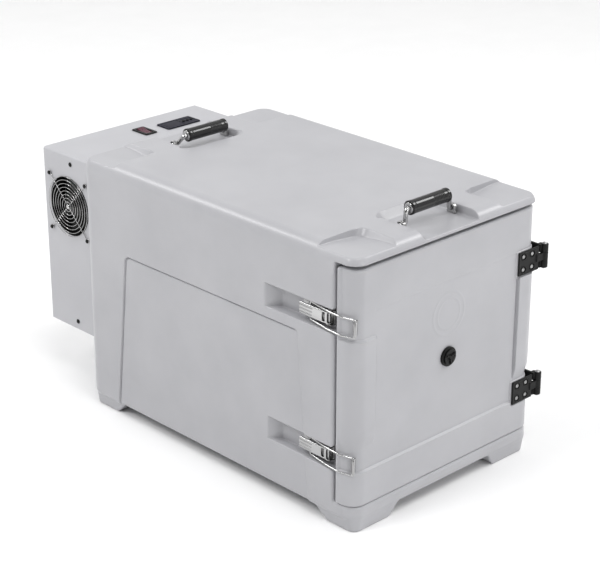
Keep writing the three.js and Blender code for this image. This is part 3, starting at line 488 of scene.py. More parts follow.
def directions(path, closed):
    """The direction of a path at each of its points."""
    last = len(path) - 1
    for n in range(last + 1):
        before = path[n - 1] if closed else path[max(n - 1, 0)]
        after = path[0 if closed and n == last else min(n + 1, last)]
        yield (after - before).normalized()


def rounded_path(points, bend, steps=8):
    """Points along straight runs whose corners are bent to a radius-like reach."""
    nodes = [Vector(p) for p in points]
    path = [nodes[0]]
    for before, corner, after in zip(nodes, nodes[1:], nodes[2:]):
        reach = min(bend, 0.45 * (before - corner).length, 0.45 * (after - corner).length)
        start = corner + (before - corner).normalized() * reach
        end = corner + (after - corner).normalized() * reach
        for n in range(steps + 1):
            t = n / steps
            path.append(start * (1 - t) ** 2 + corner * 2 * t * (1 - t) + end * t * t)
    return path + [nodes[-1]]


def sweep(path, section, closed=False, up=Vector((0, 0, 1))):
    """A tube whose section (pairs across and up) is carried along a path."""
    verts = []
    for here, along in zip(path, directions(path, closed)):
        across = along.cross(up).normalized()
        rise = across.cross(along)
        verts += [here + across * a + rise * b for a, b in section]
    faces = ring_faces(len(path), len(section), closed)
    return mesh_object(verts, faces if closed else faces + end_caps(len(path), len(section)))


def steady_tube(path, radius, sides=16, closed=False):
    """A round tube whose section turns as little as it can along the path, with low domes on open ends."""
    verts = []
    across = None
    for here, along in zip(path, directions(path, closed)):
        if across is None:
            across = along.orthogonal()
        across = (across - along * across.dot(along)).normalized()
        rise = along.cross(across)
        for n in range(sides):
            turn = math.tau * n / sides
            verts.append(here + (across * math.cos(turn) + rise * math.sin(turn)) * radius)
    faces = ring_faces(len(path), sides, closed)
    if not closed:
        for end, inner, ring in ((0, 1, 0), (-1, -2, (len(path) - 1) * sides)):
            verts.append(path[end] + (path[end] - path[inner]).normalized() * radius * 0.35)
            faces += [(ring + k, ring + (k + 1) % sides, len(verts) - 1) for k in range(sides)]
    return mesh_object(verts, faces)


def lathe(profile, centre, axis, segments, closed=False):
    """A turned piece: profile is (radius, distance along the axis) from one end to the other."""
    along = {"x": Vector((1, 0, 0)), "y": Vector((0, 1, 0)), "z": Vector((0, 0, 1))}[axis]
    side = along.orthogonal().normalized()
    other = along.cross(side)
    verts = []
    for radius, distance in profile:
        for n in range(segments):
            turn = math.tau * n / segments
            outward = side * math.cos(turn) + other * math.sin(turn)
            verts.append(Vector(centre) + along * distance + outward * radius)
    faces = ring_faces(len(profile), segments, closed)
    return mesh_object(verts, faces if closed else faces + end_caps(len(profile), segments))


def sharpen(obj, degrees=35):
    """Keeps edges crisper than an angle and smooths the rest."""
    obj.data.shade_smooth()
    obj.data.set_sharp_from_angle(angle=math.radians(degrees))
    return obj


def joined(objects):
    """One object made of several, for a part that was built in pieces."""
    mesh = bmesh.new()
    for obj in objects:
        mesh.from_mesh(obj.data)
        bpy.data.objects.remove(obj)
    data = bpy.data.meshes.new("piece")
    mesh.to_mesh(data)
    mesh.free()
    return linked(data)


def softened(node, width):
    """A copy of a CAD node with its flat faces merged and its edges broken by a small round."""
    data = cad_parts[node].data.copy()
    mesh = bmesh.new()
    mesh.from_mesh(data)
    bmesh.ops.remove_doubles(mesh, verts=mesh.verts, dist=1e-6)
    bmesh.ops.dissolve_limit(mesh, angle_limit=math.radians(1), verts=mesh.verts, edges=mesh.edges)
    corners = [e for e in mesh.edges if e.is_manifold and e.calc_face_angle(0) > math.radians(40)]
    shape = dict(offset=width * MM, segments=2, profile=0.6, affect="EDGES", clamp_overlap=True)
    bmesh.ops.bevel(mesh, geom=corners, **shape)
    mesh.to_mesh(data)
    mesh.free()
    return sharpen(linked(data), 30)


# ---- latches ------------------------------------------------------------
# Points here are (x, y): the latches are on the left, where x is below zero and falls outwards.
PIVOT = (-208.5, 66)
LEVER = dict(outer=-214.2, inner=-210.6, half=9.8, end=127.6, cheek=9.2, cheek_end=112, heel=5.3, bore=2.8)
BAIL_PIN = (-211, 105)
BAIL_BAR = (-214, 4)
BAIL = dict(half=15.5, pin_half=10.6, radius=1.65)
PLATE = dict(skin=(-202.4, -200.4), run=(60.3, 130), half=14, hole=3.6, pin=2.5)
PLATE_SCREWS = (64.5, 123.5)
PLATE_SCREW_Z = 9.6
# A black cup lining each latch hollow: painted shade for the deep opening there.
SHADE_CUP = dict(skin=(-199.6, -193.4), run=(CARCASS_FRONT + 3.4, 59.6), half=16.6, wall=0.8)
CATCH = dict(half=12.3, thick=0.62, edge=0.3, bend=2.2)


def latch_lever(level):
    """A bowed blade with two cheeks that turn on the pivot, ribbed towards its free end."""
    (px, py), half = PIVOT, LEVER["half"]

    def field(x, y, z):
        w = z - level
        bow = 1.1 * np.sin(np.clip((y - py) / 62, 0, 1) * math.pi)
        crown = 0.9 * (1 - (w / 9.9) ** 2)
        skin = slab(x + bow + crown, LEVER["outer"], LEVER["inner"])
        blade = rmax(rmax(skin, slab(y, py, LEVER["end"]), 0.9), np.abs(w) - half, 1.1)
        rib = np.minimum(np.abs(np.abs(w) - 5.2), np.abs(w))
        blade = blade - 0.75 * step(y, 97, 3) * np.exp(-(rib ** 2)) * (x < -210)
        side = rmax(np.abs(np.abs(w) - LEVER["cheek"]) - 0.6, slab(x, -214.6, -205.4), 0.5)
        side = rmax(side, slab(y, py - 3, LEVER["cheek_end"]), 0.5)
        side = rmax(side, x + 207.6 + 0.25 * np.maximum(y - 84, 0), 0.8)
        away = np.hypot(x - px, y - py)
        heel = rmax(drum(away, w, LEVER["heel"], -half, half, 0.8), half - 1.4 - np.abs(w), 0.4)
        body = rmin(rmin(blade, side, 0.8), heel, 0.8)
        slot = block(x, y, w, (-220, -200), (70.5, 76.5), (-7.6, 7.6), 1.0)
        return rmax(rmax(body, -slot, 0.6), LEVER["bore"] - away, 0.3)

    return small(field, (-217, py - 6, level - 10), (-203, 129, level + 10), 0.5)


def latch_base(level):
    """A plate with two ears and the pin between them."""
    px, py = PIVOT

    def field(x, y, z):
        w = z - level
        plate = block(x, y, w, PLATE["skin"], PLATE["run"], (-PLATE["half"], PLATE["half"]), 0.8)
        for cy in PLATE_SCREWS:
            hole = np.hypot(y - cy, np.abs(w) - PLATE_SCREW_Z)
            plate = rmax(plate, -np.maximum(hole - PLATE["hole"], -201.4 - x), 0.3)
        ear = rmax(np.abs(np.abs(w) - 11.7) - 1.05, slab(x, -213, -201), 0.4)
        ear = rmax(ear, np.hypot(y - py, np.minimum(x - px, 0)) - 6, 0.6)
        pin = drum(np.hypot(x - px, y - py), w, PLATE["pin"], 0.2 - PLATE["half"], PLATE["half"] - 0.2, 0.6)
        return np.minimum(rmin(plate, ear, 1.0), pin)

    return small(field, (-214, 57, level - 14.5), (-200, 131, level + 14.5), 0.5)


def latch_well_shade(level):
    """A black cup lining the hollow in front of a latch plate: painted shade, standing in for the darkness of the
    deep opening.
    """
    half, wall = SHADE_CUP["half"], SHADE_CUP["wall"]
    (x0, x1), (y0, y1) = SHADE_CUP["skin"], SHADE_CUP["run"]

    def field(x, y, z):
        shaded_cup = block(x, y, z - level, (x0, x1), (y0, y1), (-half, half), 1.4)
        mouth = block(x, y, z - level, (x0 - 3.4, x1 - 1), (y0 + wall, y1 - wall), (wall - half, half - wall), 1.2)
        return rmax(shaded_cup, -mouth, 0.3)

    return small(field, (-200, 49, level - 17), (-193, 60, level + 17), 0.45)


def keeper(level):
    """A bent strip that hooks the bail, its long edges rounded."""
    bends = ((-203, 11), (-208.5, 6.8), (-214.6, 8.8), (-218.6, 3.0), (-217.0, 0.6))
    path = rounded_path([(x, y, level) for x, y in bends], CATCH["bend"])
    r = CATCH["edge"]
    wide, deep = CATCH["half"] - r, CATCH["thick"] - r
    section = []
    for n, (a, b) in enumerate([(-wide, -deep), (wide, -deep), (wide, deep), (-wide, deep)]):
        for turn in (180, 225, 270):
            angle = math.radians(turn + 90 * n)
            section.append((b + r * math.sin(angle), a + r * math.cos(angle)))
    return sharpen(sweep(path, section), 50)


def bail(level):
    """A wire loop from one end of its pin, round the front and back to the other."""
    (ax, ay), (bx, by) = BAIL_PIN, BAIL_BAR

    def side(sign):
        w = level + sign * BAIL["half"]
        return [(ax, ay, level + sign * BAIL["pin_half"]), (ax, ay, w), (-219.2, 60, w), (-221, 30, w), (bx, by, w)]

    return steady_tube(rounded_path(side(-1) + side(1)[::-1], 5, 6), BAIL["radius"], 14)


def screw(centre, axis, sign, radius, height):
    """A domed screw head with a cross recess; sign is the way it faces along its axis."""
    order = {"x": (1, 2, 0), "y": (0, 2, 1), "z": (0, 1, 2)}[axis]

    def field(x, y, z):
        p = [c - o for c, o in zip((x, y, z), centre)]
        a, b, h = p[order[0]], p[order[1]], p[order[2]] * sign
        rim = np.hypot(a, b)
        sphere = (radius * radius + height * height) / (2 * height)
        dome = np.hypot(rim, h - height + sphere) - sphere
        head = rmax(rmax(dome, rim - radius, 0.25), -h - 0.4, 0.2)
        arm = np.minimum(
            np.maximum(np.abs(a) - 0.22 * radius, np.abs(b) - 0.62 * radius),
            np.maximum(np.abs(b) - 0.22 * radius, np.abs(a) - 0.62 * radius),
        )
        return rmax(head, -np.maximum(arm, height * 0.35 - h), 0.15)

    reach = [radius, radius, radius]
    reach[order[2]] = height + 0.5
    low = [c - r for c, r in zip(centre, reach)]
    high = [c + r for c, r in zip(centre, reach)]
    return small(field, low, high, radius / 11)


# ---- hinges -------------------------------------------------------------
hinge_axis = middle("hinge_pin_top")
hinge_leaf = local("hinge_door_leaf_top")
HINGE = dict(x=hinge_axis.x, y=hinge_axis.y, inner=hinge_leaf[0].x, half=(hinge_leaf[1].z - hinge_leaf[0].z) / 2)
HINGE |= dict(radius=7, side=220.6, bore=3.3, pad=6.4, seat=5.0)
KNUCKLE = 7
DOOR_SCREWS = (178, 200)
SIDE_SCREWS = (62, 92)
HINGE_SCREW_Z = 11.5


def knuckle_bore(x, y):
    return HINGE["bore"] - np.hypot(x - HINGE["x"], y - HINGE["y"])


def hinge_barrel(x, y, w, half):
    return drum(np.hypot(x - HINGE["x"], y - HINGE["y"]), w, HINGE["radius"] - 0.1, -half, half, 0.8)


def hinge_door_leaf(level):
    """The leaf on the door's face, with raised pads round its screws and an arm to the knuckle."""
    x0, half = HINGE["inner"], HINGE["half"]

    def field(x, y, z):
        w = z - level
        leaf = block(x, y, w, (x0, 217), (-0.6, 2.6), (-half, half), 1.1)
        rim = np.maximum(np.abs(w) - half + 3.2, slab(x, x0 + 3.2, 222))
        leaf = rmax(leaf, -np.maximum(rim, y + 0.1), 0.4)
        for cx in DOOR_SCREWS:
            spot = np.hypot(x - cx, np.abs(w) - HINGE_SCREW_Z)
            leaf = rmin(leaf, rmax(spot - HINGE["pad"], slab(y, -1.1, 1.2), 0.4), 0.5)
            leaf = rmax(leaf, -rmax(spot - HINGE["seat"], y - 0.7, 0.2), 0.3)
        arm = block(x, y, w, (210, HINGE["x"]), (-2.4, 2.6), (-KNUCKLE + 0.2, KNUCKLE - 0.2), 0.8)
        body = rmin(rmin(leaf, arm, 1.5), hinge_barrel(x, y, w, KNUCKLE), 1.5)
        return rmax(body, knuckle_bore(x, y), 0.3)

    return small(field, (x0, -6.5, level - half), (239.5, 8.5, level + half), 0.62)


def hinge_body_leaf(level):
    """The leaf on the carcass's side, with a strap forward to the two outer knuckles."""
    side, half = HINGE["side"], HINGE["half"]
    web_y = (HINGE["y"] + 0.5, HINGE["y"] + HINGE["radius"] + 2)

    def field(x, y, z):
        w = z - level
        leaf = block(x, y, w, (side, side + 3.6), (50, 104), (-half, half), 1.1)
        for cy in SIDE_SCREWS:
            spot = np.hypot(y - cy, np.abs(w) - HINGE_SCREW_Z)
            leaf = rmin(leaf, rmax(spot - HINGE["pad"], slab(x, side, side + 4.4), 0.4), 0.5)
            leaf = rmax(leaf, -rmax(spot - HINGE["seat"], side + 2.2 - x, 0.2), 0.3)
        strap = block(x, y, w, (side + 0.4, side + 5.4), (8.8, 54), (-half, half), 1.2)
        hollow = block(x, y, w, (side + 4.2, side + 9), (14, 46), (-half + 4, half - 4), 1.0)
        strap = rmax(strap, -hollow, 0.6)
        web = block(x, y, w, (side + 0.8, HINGE["x"]), web_y, (-half, half), 0.8)
        knuckle = rmax(rmin(hinge_barrel(x, y, w, half), web, 1.0), KNUCKLE + 0.3 - np.abs(w), 0.6)
        return rmax(rmin(rmin(leaf, strap, 1.2), knuckle, 0.8), knuckle_bore(x, y), 0.3)

    low, high = (side - 0.5, -6.5, level - half), (239.5, 104.5, level + half)
    return small(field, low, high, (0.6, 0.9, 0.9))


def hinge_pin(level):
    half = HINGE["half"]
    end = [(0.4, 3.2), (2.0, 2.9), (3.6, 2.2), (4.4, 1.4), (4.5, 0.8), (3.0, 0.5)]
    profile = [(r, -half - h + 0.4) for r, h in end] + [(r, half + h - 0.4) for r, h in reversed(end)]
    return sharpen(lathe(profile, (HINGE["x"], HINGE["y"], level), "z", 40), 50)


# ---- vent ---------------------------------------------------------------
VENT = dict(flange=16.9, tube=9.7, bore=7.0, disc=13.4, stub=6.4, lobe=30)


def vent_housing():
    """A ring on the door's face and the tube behind it."""

    def field(x, y, z):
        radius = np.hypot(x, z - VENT_Z)
        flange = rmax(radius - VENT["flange"], slab(y, 0.1, 5.4), 1.1)
        tube = np.maximum(radius - VENT["tube"], slab(y, 1, 62.5))
        return rmax(rmin(flange, tube, 0.8), VENT["bore"] - radius, 0.4)

    return small(field, (-17, 0, VENT_Z - 17), (17, 63, VENT_Z + 17), (0.6, 0.8, 0.6))


def vent_cap():
    """A disc with a three-finned knob sunk in it."""

    def field(x, y, z):
        w = z - VENT_Z
        radius = np.hypot(x, w)
        lobes = np.cos(3 * (np.arctan2(w, x) - math.radians(VENT["lobe"])))
        disc = rmax(radius - VENT["disc"], slab(y, -2.8, -0.4), 1.0)
        disc = rmax(disc, -rmax(radius - 9.0 - 3.0 * lobes, y + 1.7, 0.3), 0.5)
        knob = rmax(radius - 4.2 - 1.4 * lobes, slab(y, -4.9, -1), 0.9)
        for n in range(3):
            along, across = turned(x, w, VENT["lobe"] + 120 * n)
            fin = rmax(rmax(np.abs(across) - 1.2, slab(along, 0, 11), 0.6), slab(y, -4.6, -1), 0.7)
            knob = rmin(knob, fin, 0.6)
        stub = np.maximum(radius - VENT["stub"], slab(y, -1.5, 10))
        return np.minimum(rmin(disc, knob, 0.5), stub)

    return small(field, (-13.6, -5, VENT_Z - 13.6), (13.6, 10.5, VENT_Z + 13.6), 0.42)


# ---- handles ------------------------------------------------------------
HANDLES = {
    "front": dict(y=middle("handle_bracket_front_left").y, lean=3, body="front_handle"),
    "rear": dict(y=middle("handle_bracket_rear_left").y, lean=45, body="rear_handle"),
}
PIVOT_Z = 475
HALF_SPAN = 51
REACH = 25
WIRE = dict(tip=62.4, radius=3.9, bend=8)
SADDLE = dict(inner=56, outer=63, half=9, crown=8.5, boss=5.7, bore=4.3)
GRIP_RADIUS = 12
GRIP_HALF = 44.5
GRIP_CAP = 7.0
GROOVES = dict(first=4, last=30, count=8, depth=0.35)


def placed(obj, side):
    """Turns a handle piece built upright at the origin to its resting lean."""
    turn = Matrix.Rotation(math.radians(side["lean"]), 4, "X")
    here = Matrix.Translation(ORIGIN + Vector((0, side["y"], PIVOT_Z)) * MM)
    obj.data.transform(here @ turn @ Matrix.Translation(-ORIGIN))
    return obj


def handle_wire(side):
    half = [(WIRE["tip"], 0, 0), (HALF_SPAN, 0, 0), (HALF_SPAN, 0, REACH)]
    path = [(-x, y, z) for x, y, z in half] + half[::-1]
    return placed(steady_tube(rounded_path(path, WIRE["bend"], 10), WIRE["radius"], 20), side)


def handle_grip(side):
    """A moulded grip: a plain cap at each end and a smooth body with fine grooves on one half."""
    bore = WIRE["radius"] + 0.6
    groove_run = GROOVES["last"] - GROOVES["first"]
    profile = [(bore, -GRIP_HALF), (GRIP_RADIUS - 2.4, -GRIP_HALF), (GRIP_RADIUS - 0.9, 0.6 - GRIP_HALF)]
    for n in range(241):
        along = (GRIP_HALF - 1.1) * (n / 120 - 1)
        inner = (abs(along) - GRIP_HALF + GRIP_CAP) / 0.8
        radius = GRIP_RADIUS - 0.05 - 0.5 / (1 + math.exp(min(inner, 40) * 4))
        radius -= 0.45 * math.exp(-inner * inner)
        if GROOVES["first"] < along < GROOVES["last"]:
            turns = (along - GROOVES["first"]) / groove_run * GROOVES["count"]
            radius -= GROOVES["depth"] * (0.5 - 0.5 * math.cos(turns * math.tau))
        profile.append((radius, along))
    profile += [(GRIP_RADIUS - 0.9, GRIP_HALF - 0.6), (GRIP_RADIUS - 2.4, GRIP_HALF), (bore, GRIP_HALF)]
    return placed(sharpen(lathe(profile, (0, 0, REACH), "x", 56), 60), side)


def grip_rings(side):
    """The thin washers between a grip's ends and its legs."""
    ring = [(4.4, 0.1), (8.6, 0.1), (9.0, 0.5), (8.6, 1.1), (6.6, 1.4), (4.4, 1.4)]
    rings = []
    for sign in (-1, 1):
        profile = [(r, sign * (GRIP_HALF + h)) for r, h in ring]
        rings.append(lathe(profile, (0, 0, REACH), "x", 56, closed=True))
    return placed(sharpen(joined(rings), 50), side)


def handle_bracket(hand, side):
    """A saddle with a rounded crown that carries one end of a handle."""
    y0 = side["y"]
    low, high = sorted((hand * SADDLE["inner"], hand * SADDLE["outer"]))
    half = SADDLE["half"]
    floor = SCOOP["floor"] + 0.5

    def field(x, y, z):
        crown = np.hypot(y - y0, np.maximum(z - PIVOT_Z + 1.6, 0))
        body = rmax(rmax(crown - SADDLE["crown"], slab(x, low + 0.1, high - 0.1), 1.2), floor - z, 0.6)
        foot = block(x, y, z, (low + 0.1, high - 0.1), (y0 - half, y0 + half), (floor, floor + 4), 1.0)
        bore = np.hypot(y - y0, z - PIVOT_Z)
        boss = rmax(np.abs(bore - SADDLE["boss"]) - 0.8, slab(x, low, high), 0.4)
        return rmax(rmin(rmin(body, foot, 1.0), boss, 0.4), SADDLE["bore"] - bore, 0.4)

    return small(field, (low, y0 - 9.2, floor - 0.5), (high, y0 + 9.2, PIVOT_Z + 7.2), 0.5)


# ---- cooling unit -------------------------------------------------------
UNIT = local("unit_cover")
UNIT_HALF, UNIT_BACK, UNIT_BOTTOM, UNIT_TOP = UNIT[1].x, UNIT[1].y, UNIT[0].z, UNIT[1].z
UNIT_FRONT = DEPTH + 0.4
SHEET = 1.5
FAN = dict(y=middle("fan_frame").y, z=middle("fan_frame").z, size=120, depth=32, holes=105, bore=112)
SWITCH = dict(x=middle("switch_bezel").x, y=middle("switch_bezel").y, pivot=UNIT_TOP - 1, lean=8)
bezel = local("control_bezel")
PANEL = dict(x0=bezel[0].x, x1=bezel[1].x, y0=bezel[0].y, y1=bezel[1].y)
INLET = dict(x=middle("power_inlet").x, z=middle("power_inlet").z)
COVER_SCREWS = [middle(f"cover_screw_{n}") for n in (1, 2)]
FAN_SCREWS = [middle(f"fan_screw_{n}") for n in (1, 2, 3, 4)]
CORNERS = ((1, 1), (-1, 1), (-1, -1), (1, -1))
FAN_BACK = FAN["depth"] - UNIT_HALF + SHEET + 0.4
# The rear panel sits inside the cover's edges.
BACK_HALF = 181
BACK_TOP = 441.7
BEZEL_TOP = UNIT_TOP + 2.6
WINDOW = (48, 86, 752, 780)
KEYS = dict(xs=[middle(f"button_{n}").x for n in (1, 2, 3)], y=middle("button_1").y, hole=3.4)
# Level slots: first and last edge, pitch and height, then the middle of their length and half of it.
SIDE_LOUVRES = dict(rows=(190, 410, 18, 6), middle=757.5, half=39.5)
REAR_LOUVRES = dict(rows=(180, 400, 16, 5), middle=-40, half=97.5)


def panel_inset(margin):
    """The control panel's sides, pulled in by a margin."""
    return PANEL["x0"] + margin, PANEL["x1"] - margin, PANEL["y0"] + margin, PANEL["y1"] - margin


def louvres(along, z, slots):
    """Signed distance to a run of level slots with round ends."""
    first, last, pitch, height = slots["rows"]
    lowest = first + height / 2
    n = np.clip(np.round((z - lowest) / pitch), 0, math.floor((last - first - height) / pitch))
    past_end = np.maximum(np.abs(along - slots["middle"]) - slots["half"], 0)
    return np.hypot(z - lowest - n * pitch, past_end) - height / 2


def unit_cover():
    """A folded sheet, open below and at the back, with the fan's hole, the deck's openings and louvres."""

    def field(x, y, z):
        bulge = 0.35 * np.sin(np.clip((y - UNIT_FRONT) / 157, 0, 1) * math.pi)
        outer = rounded_rect(x, z, -UNIT_HALF, UNIT_HALF, 40, UNIT_TOP, 5) + 0.35 - bulge * step(z, 300, 200)
        sheet = np.maximum(outer, -(outer + SHEET))
        sheet = rmax(sheet, slab(y, UNIT_FRONT, UNIT_BACK), 0.5)
        sheet = rmax(sheet, UNIT_BOTTOM - z, 0.5)
        hole = np.hypot(y - FAN["y"], z - FAN["z"]) - FAN["bore"] / 2
        sheet = rmax(sheet, -np.maximum(hole, x + UNIT_HALF - 6), 0.5)
        x0, x1, y0, y1 = panel_inset(3)
        deck = np.maximum(np.abs(x - SWITCH["x"]) - 10.5, np.abs(y - SWITCH["y"]) - 18.5)
        deck = np.minimum(deck, np.maximum(slab(x, x0, x1), slab(y, y0, y1)))
        sheet = np.maximum(sheet, -np.maximum(deck, UNIT_TOP - 9 - z))
        return rmax(sheet, -np.maximum(louvres(y, z, SIDE_LOUVRES), UNIT_HALF - 6 - x), 0.5)

    return field_mesh(
        field,
        lattice(-185, 185, [(-184, -181), (181, 184), (-12, 20), (42, 48), (115, 121)], 0.62, 9),
        lattice(UNIT_FRONT - 1.5, UNIT_BACK + 1.5, [(676, 679), (705, 824), (832.5, 835)], 1.7, 5),
        lattice(UNIT_BOTTOM - 1.5, UNIT_TOP + 1.5, [(107, 110), (190, 410), (444.5, 448)], 0.85, 5),
    )


def unit_back_panel():
    y0, y1 = UNIT_BACK - 1.9, UNIT_BACK - 0.4

    def field(x, y, z):
        plate = rounded_rect(x, z, -BACK_HALF, BACK_HALF, UNIT_BOTTOM + 0.4, BACK_TOP, 3)
        plate = rmax(plate, slab(y, y0, y1), 0.5)
        opening = np.maximum(np.abs(x - INLET["x"]) - 16, np.abs(z - INLET["z"]) - 11)
        return rmax(rmax(plate, -louvres(x, z, REAR_LOUVRES), 0.5), -opening, 0.4)

    return field_mesh(
        field,
        lattice(-183, 183, [(-182, -179), (-142, -134), (54, 62), (92, 128), (179, 182)], 1.4, 9),
        np.arange(y0 - 1.0, y1 + 1.0, 0.5, dtype=np.float32),
        lattice(UNIT_BOTTOM - 1, 443.5, [(108, 111), (150, 402), (439, 442)], 1.15, 7),
    )


def power_inlet():
    cx, cz = INLET["x"], INLET["z"]

    def field(x, y, z):
        a, b = x - cx, z - cz
        h = y - UNIT_BACK
        flange = rmax(rounded_rect(a, b, -23.6, 23.6, -13.8, 13.8, 6), slab(h, 0.1, 2.9), 0.8)
        for sign in (-1, 1):
            sink = np.hypot(a - sign * 19.6, b) - 2.0 + (2.9 - h) * 0.5
            flange = rmax(flange, -sink, 0.3)
        body = np.maximum(rounded_rect(a, b, -15.6, 15.6, -10.6, 10.6, 2), slab(h, -19.8, 1))
        socket = np.maximum(rounded_rect(a, b, -12.6, 12.6, -8.6, 8.6, 3.5), -15 - h)
        socket = np.maximum(socket, np.abs(a) * 0.7 + b - 13.0)
        shape = rmax(np.minimum(flange, body), -socket, 0.7)
        for dx in (-7, 0, 7):
            shape = np.minimum(shape, block(a, h, b, (dx - 1, dx + 1), (-16, -3.2), (-3, 3), 0.5))
        return shape

    low, high = (cx - 24, UNIT_BACK - 20, cz - 14), (cx + 24, UNIT_BACK + 3, cz + 14)
    return small(field, low, high, 0.65)


def left_frame(u, v, h):
    """Fan coordinates as x, y, z: u along Y, v along Z and h outwards to the left from the fan's back plane."""
    return FAN_BACK - h, FAN["y"] + u, FAN["z"] + v


def fan_frame():
    """A square frame with a flared bore, waisted sides and a hub on three struts."""
    half = FAN["size"] / 2

    def field(x, y, z):
        u, v, h = y - FAN["y"], z - FAN["z"], FAN_BACK - x
        body = rmax(rounded_rect(u, v, -half, half, -half, half, 7), slab(h, 0.1, FAN["depth"] - 0.1), 0.8)
        radius = np.hypot(u, v)
        flare = 1.32 * np.maximum(step(h, FAN["depth"] - 2, 6), 1 - step(h, 2, 6))
        body = rmax(body, FAN["bore"] / 2 + flare - 0.8 - radius, 0.8)
        waist = rmax(rmax(radius - 90, 60.4 - radius, 1.0), slab(h, 5, FAN["depth"] - 5), 1.0)
        waist = rmax(waist, 40 - np.minimum(np.abs(u), np.abs(v)), 1.0)
        body = np.maximum(body, -np.maximum(waist, np.maximum(np.abs(u), np.abs(v)) - 70))
        for a, b in CORNERS:
            hole = np.hypot(u - a * FAN["holes"] / 2, v - b * FAN["holes"] / 2) - 2.5
            body = rmax(body, -hole, 0.4)
        hub = rmax(radius - 24, slab(h, 0.1, 3.2), 1.0)
        for n in range(3):
            along, across = turned(u, v, 15 + 120 * n)
            strut = rmax(rmax(np.abs(across) - 2.0, slab(along, 20, 57), 0.4), slab(h, 0.1, 3.2), 0.6)
            hub = rmin(hub, strut, 0.8)
        return np.minimum(body, hub)

    low, high = left_frame(-half, -half, FAN["depth"]), left_frame(half, half, 0)
    return small(field, low, high, (0.9, 1.0, 1.0))


ROTOR = dict(blades=7, hub=22, tip=53.6, base=4, depth=22, thickness=1.1, grid=9)


def blade_point(blade, face, row, column):
    """A point on one face (-1 or 1) of a blade: rows run out from the hub, columns along the chord."""
    depth, out = ROTOR["depth"], row / (ROTOR["grid"] - 1)
    s = column / (ROTOR["grid"] - 1) - 0.5
    radius = ROTOR["hub"] - 1 + (ROTOR["tip"] - ROTOR["hub"] + 1) * out
    pitch = math.radians(52 - 24 * out)
    chord = depth * 0.82 / math.sin(pitch)
    along = s * chord
    lift = 0.10 * chord * (1 - 4 * s * s) + face * (ROTOR["thickness"] * (1 - (2 * s) ** 4) * 0.5 + 0.12)
    h = depth / 2 + along * math.sin(pitch) + lift * math.cos(pitch)
    twist = (along * math.cos(pitch) - lift * math.sin(pitch)) / radius + 0.16 * out ** 1.5
    angle = math.tau * blade / ROTOR["blades"] + twist
    h = ROTOR["base"] + min(max(h, 0.3), depth - 0.3)
    return left_frame(radius * math.cos(angle), radius * math.sin(angle), h)


def fan_rotor():
    """Curved blades round a domed hub."""
    grid, last = ROTOR["grid"], ROTOR["grid"] - 1
    cells = [(row, column) for row in range(last) for column in range(last)]
    border = [(0, c) for c in range(last)] + [(r, last) for r in range(last)]
    border += [(last, c) for c in range(last, 0, -1)] + [(r, 0) for r in range(last, 0, -1)]
    far_face = grid * grid
    verts, faces = [], []
    for blade in range(ROTOR["blades"]):
        start = len(verts)
        verts += [blade_point(blade, face, r, c) for face in (-1, 1) for r in range(grid) for c in range(grid)]
        for face in (0, far_face):
            for row, column in cells:
                a = start + face + row * grid + column
                faces.append((a, a + 1, a + grid + 1, a + grid))
        for (r0, c0), (r1, c1) in zip(border, border[1:] + border[:1]):
            a, b = start + r0 * grid + c0, start + r1 * grid + c1
            faces.append((a, b, b + far_face, a + far_face))
    vanes = mesh_object(verts, faces)
    radius, depth = ROTOR["hub"], ROTOR["depth"]
    dome = [(0.3, depth), (5.5, depth), (6.6, depth - 0.7), (17.6, depth - 0.9), (20.46, depth - 1.6),
            (radius, depth - 3.2), (radius, 0.6), (radius - 0.6, 0), (0.3, 0)]
    hub = lathe([(r, -h) for r, h in dome], left_frame(0, 0, ROTOR["base"]), "x", 48)
    return sharpen(joined([vanes, hub]), 40)


GUARD = dict(rings=8, first=9.2, pitch=6.8, ring_wire=0.52, spoke_wire=0.8, eye_wire=1.1, eye=3.5)


def fan_guard():
    """Rings on four spokes that end in eyes round the fan's screws, with a disc over the hub."""
    plane = -UNIT_HALF - 0.4
    eye = FAN["holes"] / math.sqrt(2)
    parts = []

    def at(u, v, h):
        return Vector((plane - h, FAN["y"] + u, FAN["z"] + v))

    def circle(u, v, radius, h, count):
        turns = [math.tau * n / count for n in range(count)]
        return [at(u + radius * math.cos(turn), v + radius * math.sin(turn), h) for turn in turns]

    for ring in range(GUARD["rings"]):
        path = circle(0, 0, GUARD["first"] + GUARD["pitch"] * ring, 2.6, 72)
        parts.append(steady_tube(path, GUARD["ring_wire"], 12, closed=True))
    for turn in (45, 135, 225, 315):
        c, s = math.cos(math.radians(turn)), math.sin(math.radians(turn))
        path = [at(c * r, s * r, 1.2) for r in (3.6, 40, 60, eye - 3.6)]
        parts.append(steady_tube(rounded_path(path, 5, 4), GUARD["spoke_wire"], 12))
        loop = circle(c * eye, s * eye, GUARD["eye"], 1.2, 28)
        parts.append(steady_tube(loop, GUARD["eye_wire"], 10, closed=True))
    profile = [(0.3, 3.9), (2.6, 3.8), (4.2, 3.4), (4.6, 2.8), (4.4, 0.9), (0.3, 0.8)]
    parts.append(lathe([(r, -h) for r, h in profile], at(0, 0, 0), "x", 48))
    return sharpen(joined(parts), 50)


